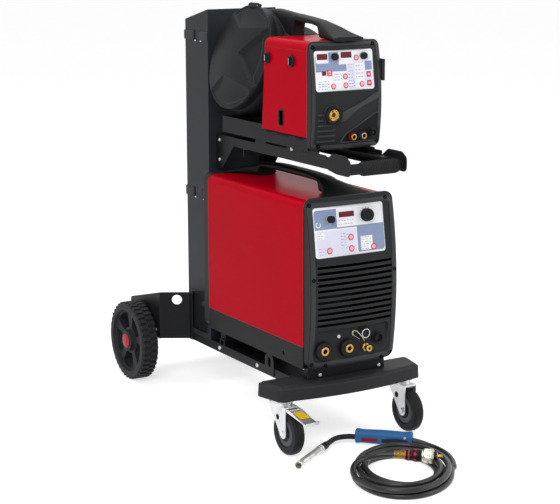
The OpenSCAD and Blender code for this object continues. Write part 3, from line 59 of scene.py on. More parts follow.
# ---- Torch lead
# A 16 mm rubber-sheathed lead: from the torch handle into an oval coil, wound inwards on the floor,
# up half a turn and outwards on top, then up to the plug that rests on the loops.
DEPTH = 0.468357  # from the foremost point of the power source to the middle of the set


def place(x, y, z):
    """A point in millimetres, with y counted from the front of the power source, as metres in the row
    frame."""
    return np.stack(np.broadcast_arrays(np.asarray(x) / 1000, np.asarray(y) / 1000 - DEPTH,
                                        np.asarray(z) / 1000), -1)


def alike(*values):
    """The values as arrays of numbers of one shape."""
    return np.broadcast_arrays(*(np.asarray(v, float) for v in values))


def srgb(*levels):
    """Linear colour of 0 to 255 screen levels."""
    c = np.array(levels) / 255
    return tuple(np.where(c <= 0.04045, c / 12.92, ((c + 0.055) / 1.055) ** 2.4)) + (1.0,)


def add_node(tree, kind, operation=None, **values):
    """A shader node of the given kind, with its operation and its named inputs set."""
    node = tree.nodes.new("ShaderNode" + kind)
    if operation:
        node.operation = operation
    for name, value in values.items():
        node.inputs[name.replace("_", " ")].default_value = value
    return node


def mix(tree, share, first, second):
    """The first colour, drawn towards the second, a fixed one, by the share."""
    node = add_node(tree, "Mix")
    node.data_type = "RGBA"
    tree.links.new(share, node.inputs[0])
    tree.links.new(first, node.inputs[6])
    node.inputs[7].default_value = second
    return node.outputs[2]


def finish(name, levels, rough=0.36, metal=0.0, drift=0.1, drift_scale=60, grain=0.05, grain_scale=700.0,
           round_edge=0.0012, edge_wear_highlight=None, edge_wear_highlight_share=0.6, coat=0.0, sheen=0.0, stretch=(1, 1, 1), gloss=0.12):
    """A surface finish: the colour and roughness drift with slow noise, fine noise gives the grain,
    edges are rounded for light and, where an edge colour is given, drawn towards it: partly rubbed wear,
    partly a painted edge highlight."""
    material = bpy.data.materials.new(name)
    material.use_nodes = True
    tree, link = material.node_tree, material.node_tree.links.new
    shader = tree.nodes["Principled BSDF"]
    for key, value in (("Metallic", metal), ("Specular IOR Level", gloss), ("Coat Weight", coat),
                       ("Coat Roughness", 0.12), ("Sheen Weight", sheen)):
        shader.inputs[key].default_value = value
    spread = add_node(tree, "Mapping", Scale=stretch)
    link(add_node(tree, "TexCoord").outputs["Object"], spread.inputs["Vector"])
    slow = add_node(tree, "TexNoise", Scale=drift_scale, Detail=4)
    fine = add_node(tree, "TexNoise", Scale=grain_scale, Detail=2)
    link(spread.outputs[0], slow.inputs["Vector"])
    link(spread.outputs[0], fine.inputs["Vector"])
    base = np.array(srgb(*levels))[:3]
    ramp = add_node(tree, "ValToRGB")
    for end, position, shade in zip(ramp.color_ramp.elements, (0.3, 0.7), (1 - drift, 1 + drift)):
        end.position = position
        end.color = tuple(np.append(np.minimum(base * shade, 1), 1))
    link(slow.outputs["Fac"], ramp.inputs["Fac"])
    dull = add_node(tree, "MapRange", To_Min=rough * 0.85, To_Max=min(rough * 1.15, 1))
    link(slow.outputs["Fac"], dull.inputs["Value"])
    link(dull.outputs[0], shader.inputs["Roughness"])
    edge = add_node(tree, "Bevel", Radius=round_edge)
    edge.samples = 4
    bump = add_node(tree, "Bump", Strength=grain, Distance=0.0006)
    link(fine.outputs["Fac"], bump.inputs["Height"])
    link(edge.outputs[0], bump.inputs["Normal"])
    link(bump.outputs[0], shader.inputs["Normal"])
    colour = ramp.outputs["Color"]
    # Edges drawn towards a lighter colour: partly rubbed wear, partly a painted highlight of the edges.
    if edge_wear_highlight:
        turn = add_node(tree, "VectorMath", "DOT_PRODUCT")
        link(edge.outputs[0], turn.inputs[0])
        link(add_node(tree, "NewGeometry").outputs["Normal"], turn.inputs[1])
        rubbed_and_highlit = add_node(tree, "MapRange", From_Min=0.995, From_Max=0.8, To_Min=0.0, To_Max=edge_wear_highlight_share)
        link(turn.outputs["Value"], rubbed_and_highlit.inputs["Value"])
        colour = mix(tree, rubbed_and_highlit.outputs[0], colour, srgb(*edge_wear_highlight))
    link(colour, shader.inputs["Base Color"])
    return material


def grid_faces(rows, columns, wrap_rows=False, wrap_columns=True):
    """Quads between neighbouring rows and columns of a grid of points."""
    i, j = np.meshgrid(np.arange(rows - (not wrap_rows)), np.arange(columns - (not wrap_columns)),
                       indexing="ij")
    k, l = (i + 1) % rows, (j + 1) % columns
    return np.stack([i * columns + j, k * columns + j, k * columns + l, i * columns + l], -1).reshape(-1,
        4).tolist()


def closed_faces(rows, columns):
    """The quads of a skin of rings, and a face over each end."""
    return grid_faces(rows, columns) + [list(range(columns)),
                                        list(range((rows - 1) * columns, rows * columns))]


def piece(name, parts, material, body="cart", replaces=(), smooth=35, bevel=0.0):
    """One object from parts, each a list of points and a list of faces. Doubles are merged and faces
    turned outwards."""
    points, faces, start = [], [], 0
    for p, f in parts:
        p = np.asarray(p, float).reshape(-1, 3)
        points.append(p)
        faces += [[v + start for v in face] for face in f]
        start += len(p)
    mesh = bpy.data.meshes.new(name)
    mesh.from_pydata(np.concatenate(points).tolist(), [], faces)
    work = bmesh.new()
    work.from_mesh(mesh)
    bmesh.ops.remove_doubles(work, verts=work.verts, dist=2e-6)
    bmesh.ops.recalc_face_normals(work, faces=work.faces)
    work.to_mesh(mesh)
    work.free()
    made = show(name, mesh)
    mesh.materials.append(material)
    if bevel:
        rounding = made.modifiers.new("rounding", "BEVEL")
        rounding.width, rounding.segments, rounding.limit_method = bevel, 2, "ANGLE"
    mesh.shade_smooth()
    mesh.set_sharp_from_angle(angle=np.radians(smooth))
    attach(made, body)
    if replaces:
        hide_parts(*replaces)
    return made


def curve_through(points, steps):
    """Catmull-Rom curve through the points, with steps along each stretch."""
    p = np.asarray(points, float)
    p = np.concatenate([[2 * p[0] - p[1]], p, [2 * p[-1] - p[-2]]])
    t = np.linspace(0, 1, steps, endpoint=False)[None, :, None]
    a, b, c, d = p[:-3, None], p[1:-2, None], p[2:-1, None], p[3:, None]
    q = 0.5 * (2 * b + (c - a) * t + (2 * a - 5 * b + 4 * c - d) * t ** 2
               + (3 * b - a - 3 * c + d) * t ** 3)
    return np.concatenate([q.reshape(-1, 3), p[-2:-1]])


def tube(path, radius, around=16):
    """Rings of the given radius square to a path: centre + r (cos a side + sin a up), closed by end
    faces."""
    path = np.asarray(path)
    along = np.gradient(path, axis=0)
    along /= np.linalg.norm(along, axis=1)[:, None]
    side = np.cross([0, 0, 1.0], along)
    side /= np.linalg.norm(side, axis=1)[:, None]
    up = np.cross(along, side)
    a = np.linspace(0, 2 * np.pi, around, endpoint=False)[None, :, None]
    r = np.broadcast_to(radius, len(path))[:, None, None]
    rings = path[:, None] + r * (np.cos(a) * side[:, None] + np.sin(a) * up[:, None])
    return rings, closed_faces(len(path), around)


COIL_AT, COIL_ANGLE = (-33, -270), np.radians(-35)
TURNS_IN, TURNS_UP, TURNS_OUT = 2, 0.5, 1.889


def coil_axes(x, y, z):
    """A point given across, along and above the oval coil."""
    c, s = np.cos(COIL_ANGLE), np.sin(COIL_ANGLE)
    return place(COIL_AT[0] + x * c - y * s, COIL_AT[1] + x * s + y * c, z)


def coil(u):
    """Oval spiral after u turns: the half axes shrink from 135 x 195 to 95 x 120 mm and grow again,
    and the height steps up by one lead and 0.5 mm between the two layers."""
    w = np.interp(u, [0, TURNS_IN, TURNS_IN + TURNS_UP, TURNS_IN + TURNS_UP + TURNS_OUT], [0, 1, 1, 0])
    s = np.clip((u - TURNS_IN) / TURNS_UP, 0, 1)
    return coil_axes((135 - 40 * w) * np.cos(2 * np.pi * u), -(195 - 75 * w) * np.sin(2 * np.pi * u),
                     8 + 16.5 * s * s * (3 - 2 * s))


turns = TURNS_IN + TURNS_UP + TURNS_OUT
loops = coil(np.linspace(0, turns, 260))
heading_in = (loops[1] - loops[0]) / np.linalg.norm(loops[1] - loops[0])
heading_out = (loops[-1] - loops[-2]) / np.linalg.norm(loops[-1] - loops[-2])
TORCH_AT, TORCH_TURN = (9, 10, 18), np.radians(136)
GRIP = 162  # length of the torch handle


def torch(x, y=0.0, z=0.0):
    """A point given along the torch handle towards the neck, to its left, and above its axis."""
    c, s = np.cos(TORCH_TURN), np.sin(TORCH_TURN)
    return place(TORCH_AT[0] + x * c - y * s, TORCH_AT[1] + x * s + y * c, TORCH_AT[2] + z)


to_coil = place(*np.array([[132, -112, 18], [142, -124, 15], [152, -140, 11], [159, -160, 9],
                           [161, -182, 8], [159, -205, 8], [154, -228, 8], [146, -251, 8], [136, -273, 8],
                           [124, -294, 8], [111, -313, 8]]).T)
to_plug = coil_axes(*np.array([[-118, -98, 25], [-125, -74, 30], [-124, -48, 36], [-114, -25, 42],
                               [-96, -7, 45], [-74, 4, 48], [-50, 8, 51], [-26, 7, 52.5], [-20, 6.4, 53],
                               [-12, 6, 53]]).T)
first = curve_through(np.concatenate([[torch(-GRIP + 19)], [torch(-GRIP - 2)], to_coil[1:],
                                      [loops[0] - 0.032 * heading_in], [loops[0] - 0.016 * heading_in],
                                      [loops[0]]]), 5)
last = curve_through(np.concatenate([[loops[-1]], [loops[-1] + 0.016 * heading_out],
                                     [loops[-1] + 0.0256 * heading_out], to_plug]), 5)
lead_path = np.concatenate([first[:-1], loops, last[1:]])
sheath = finish("lead_sheath", (20, 20, 22), drift=0.2, drift_scale=30, grain=0.25, grain_scale=260,
                round_edge=0.0004, gloss=0.4)
lead = piece("torch_lead_sheath", [tube(lead_path, 0.008)], sheath,
             replaces=("torch_lead", "torch_coil"), smooth=80)

# ---- Torch plug
# Nickel and brass central plug: a wound bend relief on the lead, a black grip with red locking tabs,
# a knurled union nut, a black insulating ring and the contact tube.


def axes_of(axis):
    """Two directions square to an axis, and the axis."""
    w = np.array(axis, float) / np.linalg.norm(axis)
    u = np.cross(w, [0, 0, 1.0] if abs(w[2]) < 0.9 else [1.0, 0, 0])
    u /= np.linalg.norm(u)
    return u, np.cross(w, u), w


def turned(profile, base, axis, around=48, flutes=0, depth=0.0, between=(0, 1)):
    """A profile of (radius, height) in millimetres turned about an axis through base. Flutes of the
    given depth run along it between two heights: r (1 - depth cos(n a))."""
    p = np.asarray(profile, float) / 1000
    u, v, w = axes_of(axis)
    a = np.linspace(0, 2 * np.pi, around, endpoint=False)[:, None]
    r = np.broadcast_to(p[:, 0], (around, len(p)))
    if flutes:
        band = (p[:, 1] >= between[0] / 1000) & (p[:, 1] <= between[1] / 1000)
        r = r - np.where(band, depth / 1000 * (0.5 + 0.5 * np.cos(flutes * a)), 0) * (p[:, 0] > 0)
    ray = np.cos(a)[..., None] * u + np.sin(a)[..., None] * v
    points = np.asarray(base) + r[..., None] * ray + p[None, :, 1, None] * w
    return points, grid_faces(around, len(p), wrap_rows=True, wrap_columns=False)


plug_base = coil_axes(-12, 6, 53)
plug_turn = COIL_ANGLE + np.radians(-3)
plug_axis = np.array([np.cos(plug_turn), np.sin(plug_turn), 0])
nickel = finish("nickel", (196, 190, 176), rough=0.24, metal=1.0, edge_wear_highlight=(228, 224, 214))
brass = finish("brass", (180, 142, 66), rough=0.3, metal=1.0, drift=0.16, drift_scale=90, grain=0.06,
               edge_wear_highlight=(240, 214, 150))
black_gloss = finish("black_moulding", (24, 24, 26), rough=0.32, drift=0.15, drift_scale=40, grain=0.06,
                     edge_wear_highlight=(70, 70, 74), edge_wear_highlight_share=0.4)
red_gloss = finish("red_moulding", (196, 34, 44), rough=0.3, drift=0.08, edge_wear_highlight=(226, 90, 92), edge_wear_highlight_share=0.5)
h = np.linspace(-8, 27, 340)
wind = 2 * np.pi * 9.5 * (h + 8) / 35
wind_u, wind_v, wind_w = axes_of(plug_axis)
relief_path = plug_base + h[:, None] / 1000 * wind_w + (0.0098 + 0.00006 * (h[:, None] + 8)) * (
    np.cos(wind)[:, None] * wind_u + np.sin(wind)[:, None] * wind_v)


def on_plug(profile, around=48, *flutes):
    """A profile turned about the axis of the plug."""
    return turned(profile, plug_base, plug_axis, around, *flutes)


plug_relief = piece("plug_relief", [tube(relief_path, 0.0012, 8)], brass, smooth=80)
plug_body = piece("plug_body",
                  [on_plug([(0, 22), (11, 22), (13.5, 26), (14.5, 30), (14.5, 43), (16.5, 46), (17, 50),
                            (17, 64), (15.5, 67), (15.5, 71), (0, 71)], 64, 16, 0.9, (29, 44))],
                  black_gloss, replaces=("euro_plug",))
plug_tabs = piece("plug_tabs",
                  [on_plug([(15, 46), (17.6, 47), (17.9, 49), (17.9, 52), (17.3, 53.5), (15, 54)], 64, 6,
                           1.6, (46, 55)), on_plug([(12, 31), (14.9, 31.5), (14.9, 35), (12, 35.5)])],
                  red_gloss)
plug_nut = piece("plug_nut",
                 [on_plug([(0, 68), (15.6, 68), (15.8, 72), (19.2, 74), (19.8, 76), (19.8, 84), (18.8, 85),
                           (18.8, 88), (19.8, 89), (19.8, 96), (18.4, 99), (13.5, 100.5), (0, 100.5)], 144,
                          36, 0.7, (75.9, 96.1))], nickel)
plug_ring = piece("plug_ring",
                  [on_plug([(0, 100), (12.8, 100), (13, 102), (13, 107), (11.5, 108.2), (0, 108.2)])],
                  black_gloss)
plug_tip = piece("plug_tip",
                 [on_plug([(0, 107), (9.8, 107), (9.8, 109.4), (5, 110.4), (4.6, 111), (4.9, 112),
                           (4.9, 121), (4, 122.6), (1.6, 122.6), (1.6, 116), (0, 116)])], brass)
tuple(torch(-GRIP))

# ---- Torch
# Blue two-part moulded handle with a dark grip pad, a red trigger, a black sleeved swan neck,
# a lumpy insulator and a nickel gas nozzle with a drawn-in mouth.


def superellipse(around, power):
    """The two coordinates of points round the curve |a|^p + |b|^p = 1, evenly in angle."""
    a = np.linspace(0, 2 * np.pi, around, endpoint=False)
    ring = (np.abs(np.cos(a)) ** power + np.abs(np.sin(a)) ** power) ** (-1 / power)
    return np.cos(a) * ring, np.sin(a) * ring


def loft(stations, around=40, power=2.6):
    """Closed skin through cross sections (x, y, z centre, half width, half height) along the torch:
    each is a superellipse |a/w|^p + |b/h|^p = 1."""
    s = np.asarray(stations, float)
    wide, tall = superellipse(around, power)
    y = s[:, 1:2] + s[:, 3:4] * wide[None]
    z = s[:, 2:3] + s[:, 4:5] * tall[None]
    x = np.broadcast_to(s[:, 0:1], y.shape)
    return torch(x, y, z), closed_faces(len(s), around)


blue = finish("handle_blue", (50, 104, 160), rough=0.42, drift=0.08, drift_scale=40, grain=0.12,
              edge_wear_highlight=(120, 165, 215), edge_wear_highlight_share=0.5)
dark_pad = finish("grip_pad", (34, 42, 58), rough=0.6, drift=0.15, grain=0.3, grain_scale=420)
x = np.linspace(-GRIP, 0, 60)
collar = np.exp(-((x + 2) / 11) ** 2) + np.exp(-((x + 158) / 12) ** 2)
swell = 0.5 - 0.5 * np.cos(2 * np.pi * np.clip((x + 150) / 140, 0, 1))
ends = np.clip(np.minimum(x + GRIP, -x) / 3, 0, 1) ** 0.5
drawn_in = 0.84 + 0.16 * ends
half_wide = (16.4 + 2.4 * collar + 1.6 * swell) * drawn_in
half_tall = (18.6 + 2.2 * collar + 1.4 * swell) * drawn_in
handle = np.stack([x, 0 * x - 2, 0 * x + 4, half_wide, half_tall], 1)
piece("torch_handle_shell", [loft(handle)], blue, replaces=("torch_handle",))
pad = handle[(x > -152) & (x < -76)]
span = np.sin(np.linspace(0.25, np.pi - 0.25, len(pad)))
pad = np.stack([pad[:, 0], pad[:, 1] + 6.2, pad[:, 2] - 5, pad[:, 3] - 4.7, 13.5 * span ** 0.5], 1)
piece("torch_grip_pad", [loft(pad)], dark_pad)
piece("torch_screw",
      [turned([(0, 14), (3.4, 14), (3.4, 18), (2.9, 18.6), (1.2, 18.6), (1, 17.8), (0, 17.8)],
              torch(-142, -1, 11), torch(0, 1) - torch(0, 0), 24)],
      finish("screw_zinc", (214, 214, 210), rough=0.3, metal=0.9, drift=0.08, drift_scale=80))
neck_sleeve = finish("neck_sleeve", (40, 40, 42), rough=0.5, drift=0.2, drift_scale=50, grain=0.2,
                     grain_scale=500, edge_wear_highlight=(84, 84, 86))
NECK_R = 52


def along_neck(angle, on=0.0):
    """A point of the neck's axis: round an arc of radius NECK_R by an angle, then straight on."""
    return torch(7 + NECK_R * np.sin(angle) + on * np.cos(angle),
                 NECK_R - NECK_R * np.cos(angle) + on * np.sin(angle))


bend = np.radians(np.linspace(0, 78, 40))
neck_path = np.concatenate([torch(np.array([-10.0, 0, 3])), along_neck(bend),
                            along_neck(bend[-1], np.array([12.0, 30, 47]))])
piece("torch_neck_tube", [tube(neck_path, 0.0075, 24)], neck_sleeve,
      replaces=("torch_neck",), smooth=60)
neck_axis = torch(np.cos(bend[-1]), np.sin(bend[-1])) - torch(0, 0)
neck_end = along_neck(bend[-1], 46)
piece("torch_insulator",
      [turned([(0, -4), (8.4, -4), (9.8, -1), (9.6, 4), (8.8, 6), (10.4, 9), (11.2, 12), (10.6, 16),
               (9, 18), (9.4, 21), (11, 24), (11, 30), (10.2, 33), (9.4, 36), (0, 36)], neck_end, neck_axis,
              48, 6, 0.8, (8, 17))], black_gloss)
nozzle_steel = finish("nozzle_nickel", (226, 225, 220), rough=0.32, metal=0.75, drift=0.14, drift_scale=50,
                      grain=0.04, edge_wear_highlight=(240, 238, 230), gloss=0.5)
nozzle_base = neck_end + 0.036 * neck_axis / np.linalg.norm(neck_axis)
piece("torch_nozzle",
      [turned([(0, -1), (11.6, -1), (12, 0), (12, 5), (11, 6), (11, 11), (12, 12), (12, 16), (11, 17),
               (10.8, 60), (10.4, 122), (8.8, 128), (8.7, 131), (10.6, 140), (11, 144), (11, 149.4),
               (10.6, 150), (9.4, 150), (8.4, 140), (7.4, 132), (7.4, 124), (0, 124)], nozzle_base,
              neck_axis, 64)], nozzle_steel)
tip_copper = finish("tip_copper", (104, 78, 64), rough=0.32, metal=1.0, drift=0.15, drift_scale=80)
piece("torch_contact_tip",
      [turned([(0, 120), (4, 120), (4, 134), (3, 142), (1, 142), (0.8, 139), (0, 139)], nozzle_base,
              neck_axis, 32)], tip_copper)

# ---- Floor and light
# A white studio floor that keeps the soft shadows, a white surround and large lamps.
floor_mesh = bpy.data.meshes.new("floor")
floor_mesh.from_pydata([(-30, -30, -0.0005), (30, -30, -0.0005), (30, 30, -0.0005), (-30, 30, -0.0005)], [],
                       [(0, 1, 2, 3)])
floor = show("floor", floor_mesh)
paper = bpy.data.materials.new("studio_floor")
paper.use_nodes = True
tree = paper.node_tree
shader = tree.nodes["Principled BSDF"]
shader.inputs["Base Color"].default_value = (0.8, 0.8, 0.8, 1)
shader.inputs["Roughness"].default_value = 0.9
shader.inputs["Specular IOR Level"].default_value = 0.1
glow = add_node(tree, "Emission")


def seen_from_lens(tree):
    """1 for what the camera sees itself, in a reflection or through glass, else 0."""
    path = add_node(tree, "LightPath")
    total = add_node(tree, "Math")
    more = add_node(tree, "Math")
    more.use_clamp = True
    tree.links.new(path.outputs["Is Camera Ray"], total.inputs[0])
    tree.links.new(path.outputs["Is Glossy Ray"], total.inputs[1])
    tree.links.new(total.outputs[0], more.inputs[0])
    tree.links.new(path.outputs["Is Transmission Ray"], more.inputs[1])
    return more.outputs[0]


lit = add_node(tree, "Math", "MULTIPLY")
lit.inputs[1].default_value = 0.62
tree.links.new(seen_from_lens(tree), lit.inputs[0])
tree.links.new(lit.outputs[0], glow.inputs["Strength"])
both = add_node(tree, "AddShader")
tree.links.new(shader.outputs[0], both.inputs[0])
tree.links.new(glow.outputs[0], both.inputs[1])
tree.links.new(both.outputs[0], tree.nodes["Material Output"].inputs["Surface"])
floor_mesh.materials.append(paper)
world = bpy.data.worlds.new("studio")
bpy.context.scene.world = world
world.use_nodes = True
tree = world.node_tree
sky = tree.nodes["Background"]
sky.inputs["Color"].default_value = (1, 1, 1, 1)
seen_white = add_node(tree, "MapRange", To_Min=0.42, To_Max=1.0)
tree.links.new(seen_from_lens(tree), seen_white.inputs["Value"])
tree.links.new(seen_white.outputs[0], sky.inputs["Strength"])
for name, spot, size, power in (("key", (-3.2, -3.6, 3.6), 2.6, 150), ("fill", (3.6, -3.2, 2.4), 2.4, 60),
                                ("top", (0.0, 0.3, 4.2), 2.4, 60)):
    lamp = show(name, bpy.data.lights.new(name, "AREA"))
    lamp.data.size, lamp.data.energy = size, power
    lamp.location = spot
    lamp.rotation_euler = (Vector((0, 0, 0.5)) - Vector(spot)).to_track_quat("-Z", "Y").to_euler()

# ---- Cart steelwork
# Folded and welded sheet in satin black powder coat: rails, rear side plates with the bottle platform,
# shelf arms; the tall column is a shade bluer.
black_coat = finish("black_powder_coat", (20, 21, 24), rough=0.42, drift_scale=5, grain=0.35,
                    grain_scale=900, round_edge=0.0016, edge_wear_highlight=(92, 95, 100))
column_coat = finish("column_powder_coat", (38, 42, 48), rough=0.4, drift=0.12, drift_scale=3, grain=0.35,
                     grain_scale=900, round_edge=0.002, edge_wear_highlight=(112, 120, 130))
tray_coat = finish("tray_coat", (42, 42, 45), rough=0.5, drift_scale=6, grain=0.5, grain_scale=520,
                   round_edge=0.007, edge_wear_highlight=(86, 88, 92), edge_wear_highlight_share=0.3)


def dress(material, *names):
    """These worked-metal and moulded parts take the finish as they are."""
    for name in names:
        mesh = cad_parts[name].data
        mesh.materials.clear()
        mesh.materials.append(material)


dress(black_coat, "chassis_rails", "rear_frame", "shelf_frame")
dress(column_coat, "column")
dress(tray_coat, "front_tray")

BLOCK_FACES = [[0, 1, 3, 2], [4, 6, 7, 5], [0, 4, 5, 1], [2, 3, 7, 6], [0, 2, 6, 4], [1, 5, 7, 3]]


def at_boxes(*boxes):
    """Separate rounded blocks, each from its lowest to its highest corner in place() millimetres."""
    parts = []
    for lo, hi in boxes:
        c = np.array([[x, y, z] for x in (lo[0], hi[0]) for y in (lo[1], hi[1]) for z in (lo[2], hi[2])])
        parts.append((place(*c.T), BLOCK_FACES))
    return parts


def screw(x, y, z, axis, r=4.0, lift=2.4):
    """A domed socket-head screw: a low dome of radius r with a hexagonal well."""
    profile = [(0, -1.5), (r, -1.5), (r, lift * 0.45), (r * 0.86, lift * 0.85), (r * 0.6, lift),
               (r * 0.42, lift), (r * 0.4, lift * 0.25), (0, lift * 0.2)]
    return turned(profile, place(x, y, z), axis, 24)


zinc = finish("zinc_plate", (216, 218, 221), rough=0.3, metal=0.85, drift=0.14, drift_scale=26, grain=0.12,
              grain_scale=300, edge_wear_highlight=(232, 234, 236))
bolts = [screw(x, 46, 205, (0, -1, 0), 5.5, 4) for x in (-88.5, 109.5)]
for s in (-1, 1):
    bolts += [screw(s * 118, y, z, (s, 0, 0), 6.5, 4) for y, z in ((568, 166), (340, 166), (100, 164))]
    bolts += [screw(s * 92, y, z, (s, 0, 0), 5.5, 3.5) for y, z in ((188, 823), (605, 800), (605, 740))]
    bolts.append(screw(s * 200, 840, 172, (s, 0, 0), 5.5, 3.5))
piece("cart_bolts", bolts, zinc)
webs = [((x, y, 815.5), (x + 2.5, y + deep, top))
        for y, deep, top in ((12, 37, 827), (48, 83, 832)) for x in (-92.2, 89.7)]
piece("shelf_front_webs", at_boxes(*webs), black_coat, bevel=0.0006)
# Dark sheets inside the column's flanges behind their windows: painted shade of the column's dark inside,
# seen through the windows.
piece("column_window_shade_sheets",
      at_boxes(((111.5, 640, 186), (114, 752, 336)), ((-114, 640, 186), (-111.5, 752, 336))), black_coat)

# ---- Bottle straps
# Two black webbing straps, woven, threaded through the column's slots, with a cam buckle at the back.
web = finish("strap_webbing", (30, 30, 33), rough=0.85, drift=0.2, grain=0.9, grain_scale=1100,
             round_edge=0.0005, sheen=0.3)


def add_bands(material, direction, scale, strength, distance):
    """Fine parallel bands across a finish: a sine wave along one axis, as height."""
    tree, link = material.node_tree, material.node_tree.links.new
    wave = add_node(tree, "TexWave", Scale=scale)
    wave.bands_direction = direction
    bump = add_node(tree, "Bump", Strength=strength, Distance=distance)
    link(add_node(tree, "TexCoord").outputs["Object"], wave.inputs["Vector"])
    link(wave.outputs["Fac"], bump.inputs["Height"])
    link(bump.outputs[0], tree.nodes["Principled BSDF"].inputs["Normal"])


add_bands(web, "Z", 190, 0.7, 0.0008)
STRAP_HEIGHTS, STRAP_SLOTS = (626, 1107), ((667, 720), (676, 711))


def strap(z, slots):
    """Webbing 27.6 x 2.5 mm with rounded edges, swept along its plan through both flanges and round the
    rear."""
    half = [(119.6, 627), (119.6, slots[0] - 5), (116.5, slots[0]), (113.4, slots[0] + 5),
            (113.4, slots[1] - 5), (116.5, slots[1]), (119.6, slots[1] + 5), (119.6, 762), (119.3, 772),
            (115.5, 780), (108, 783.6), (96, 784)]
    plan = np.array([(-x, y) for x, y in half] + [(60, 784)] + half[::-1][1:])
    plan = curve_through(np.c_[plan, 0 * plan[:, 0]], 4)[:, :2]
    along = np.gradient(plan, axis=0)
    along /= np.linalg.norm(along, axis=1)[:, None]
    out = np.c_[along[:, 1], -along[:, 0]]
    a = np.linspace(0, 2 * np.pi, 20, endpoint=False)
    t = 1.25 * np.sign(np.cos(a)) * np.abs(np.cos(a)) ** 0.5
    w = 13.8 * np.sign(np.sin(a)) * np.abs(np.sin(a)) ** 0.35
    xy = plan[:, None] + t[None, :, None] * out[:, None]
    return place(xy[..., 0], xy[..., 1], z + np.broadcast_to(w, xy.shape[:2])), closed_faces(len(plan), 20)


piece("bottle_webbing", [strap(z, slots) for z, slots in zip(STRAP_HEIGHTS, STRAP_SLOTS)], web,
      replaces=("bottle_straps",), smooth=60)
piece("strap_buckles", at_boxes(*[((-22, 783, z - 17), (22, 791, z + 17)) for z in STRAP_HEIGHTS])
      + at_boxes(*[((-19, 789, z - 13), (10, 796, z + 13)) for z in STRAP_HEIGHTS]), black_gloss,
      bevel=0.002)

# ---- Rear wheels, axle and caps
# One-piece moulded wheels with two rows of lugs, on a ground steel axle under red push-on caps.
wheel_rubber = finish("wheel_moulding", (40, 41, 43), rough=0.55, drift=0.14, drift_scale=18, grain=0.4,
                      grain_scale=600, round_edge=0.002, edge_wear_highlight=(88, 90, 92))
dress(wheel_rubber, "rear_wheel_left", "rear_wheel_right")
ground_steel = finish("ground_steel", (170, 173, 178), rough=0.3, metal=1.0, drift_scale=40, grain=0.1,
                      stretch=(1, 30, 30))
dress(ground_steel, "rear_axle", "feed_roll")
cap_red = finish("axle_cap_red", (186, 40, 48), rough=0.34, drift_scale=50, grain=0.08,
                 edge_wear_highlight=(226, 110, 110), edge_wear_highlight_share=0.5)
dress(cap_red, "axle_caps")

# ---- Casters and brake
# Zinc-plated pressed forks on ball races, grey-black rubber tyres, and a pressed pedal with a
# yellow foot mark.
CASTER_X = 200
dress(zinc, "caster_plates", "caster_fork_left", "caster_fork_right", "brake_pedal")
tyre_rubber = finish("caster_tyre", (27, 28, 31), rough=0.5, drift=0.14, drift_scale=30, grain=0.3,
                     grain_scale=500, round_edge=0.002, edge_wear_highlight=(92, 94, 98))
dress(tyre_rubber, "caster_wheel_left", "caster_wheel_right")
yellow = finish("brake_yellow", (214, 178, 40), rough=0.42, drift_scale=80, grain=0.1, edge_wear_highlight=(236, 214, 120),
                edge_wear_highlight_share=0.5)
x, y = np.array([[-15, -61], [15, -61], [15, -15], [-15, -15]]).T - np.array([[CASTER_X], [0]])
tread = 132 - (-13.5 - y) * 13.5 / 106.5  # the pedal's top falls by 13.5 mm over its 106.5 mm
mark = np.concatenate([place(x, y, tread - 0.3), place(x, y, tread + 0.7)])
piece("brake_foot_mark", [(mark, closed_faces(2, 4))], yellow, body="brake_pedal",
      bevel=0.0003)
hub_grey = finish("caster_hub", (88, 90, 94), rough=0.5, drift_scale=40, grain=0.2, edge_wear_highlight=(120, 122, 126))
for side, body in ((-1, "caster_wheel_left"), (1, "caster_wheel_right")):
    rings = [turned([(24, 0), (38, 0), (38, 1.4), (36.5, 2.2), (26, 2.2), (24, 1.4)],
                    place(side * CASTER_X + f * 11.6, 27, 62.5), (f, 0, 0), 64) for f in (-1, 1)]
    piece(body + "_web_rings", rings, hub_grey, body=body)
piece("caster_races",
      [turned([(29, -3.5), (31.5, -3.5), (32.4, -1), (31.5, 1.6), (29, 1.6)],
              place(s * CASTER_X, 62, 145.5), (0, 0, 1), 64) for s in (-1, 1)], zinc)

# ---- Steering bar grip
# Ribbed black rubber sleeve.
dress(finish("grip_rubber", (32, 32, 34), rough=0.62, drift=0.2, drift_scale=40, grain=0.4, grain_scale=500,
             round_edge=0.0009, edge_wear_highlight=(70, 70, 72)), "handle_grip")

# ---- Casings
# Sheet-steel covers in glossy red enamel over a black skirt; mouldings front and rear in textured charcoal.
# Its lighter pink edges are partly a painted highlight on the rounded shoulders.
red_enamel = finish("red_enamel", (188, 0, 28), rough=0.26, drift=0.05, drift_scale=2.5, grain=0.08,
                    grain_scale=260, round_edge=0.004, edge_wear_highlight=(226, 70, 66), edge_wear_highlight_share=0.75, gloss=0.025)
red_enamel.node_tree.nodes["Principled BSDF"].inputs["Specular Tint"].default_value = (1, 0.35, 0.35, 1)


def red_with_painted_shade(name, mask):
    """A copy of the red enamel with painted shade: dark where the mask, made from its nodes, gives 1."""
    shaded_enamel = red_enamel.copy()
    shaded_enamel.name = name
    tree = shaded_enamel.node_tree
    colour = tree.nodes["Principled BSDF"].inputs["Base Color"]
    tree.links.new(mix(tree, mask(tree), colour.links[0].from_socket, srgb(26, 24, 26)), colour)
    return shaded_enamel


def less(tree, value, limit):
    """1 where a value is under a limit, else 0."""
    test = add_node(tree, "Math", "LESS_THAN")
    test.inputs[1].default_value = limit
    tree.links.new(value, test.inputs[0])
    return test.outputs[0]


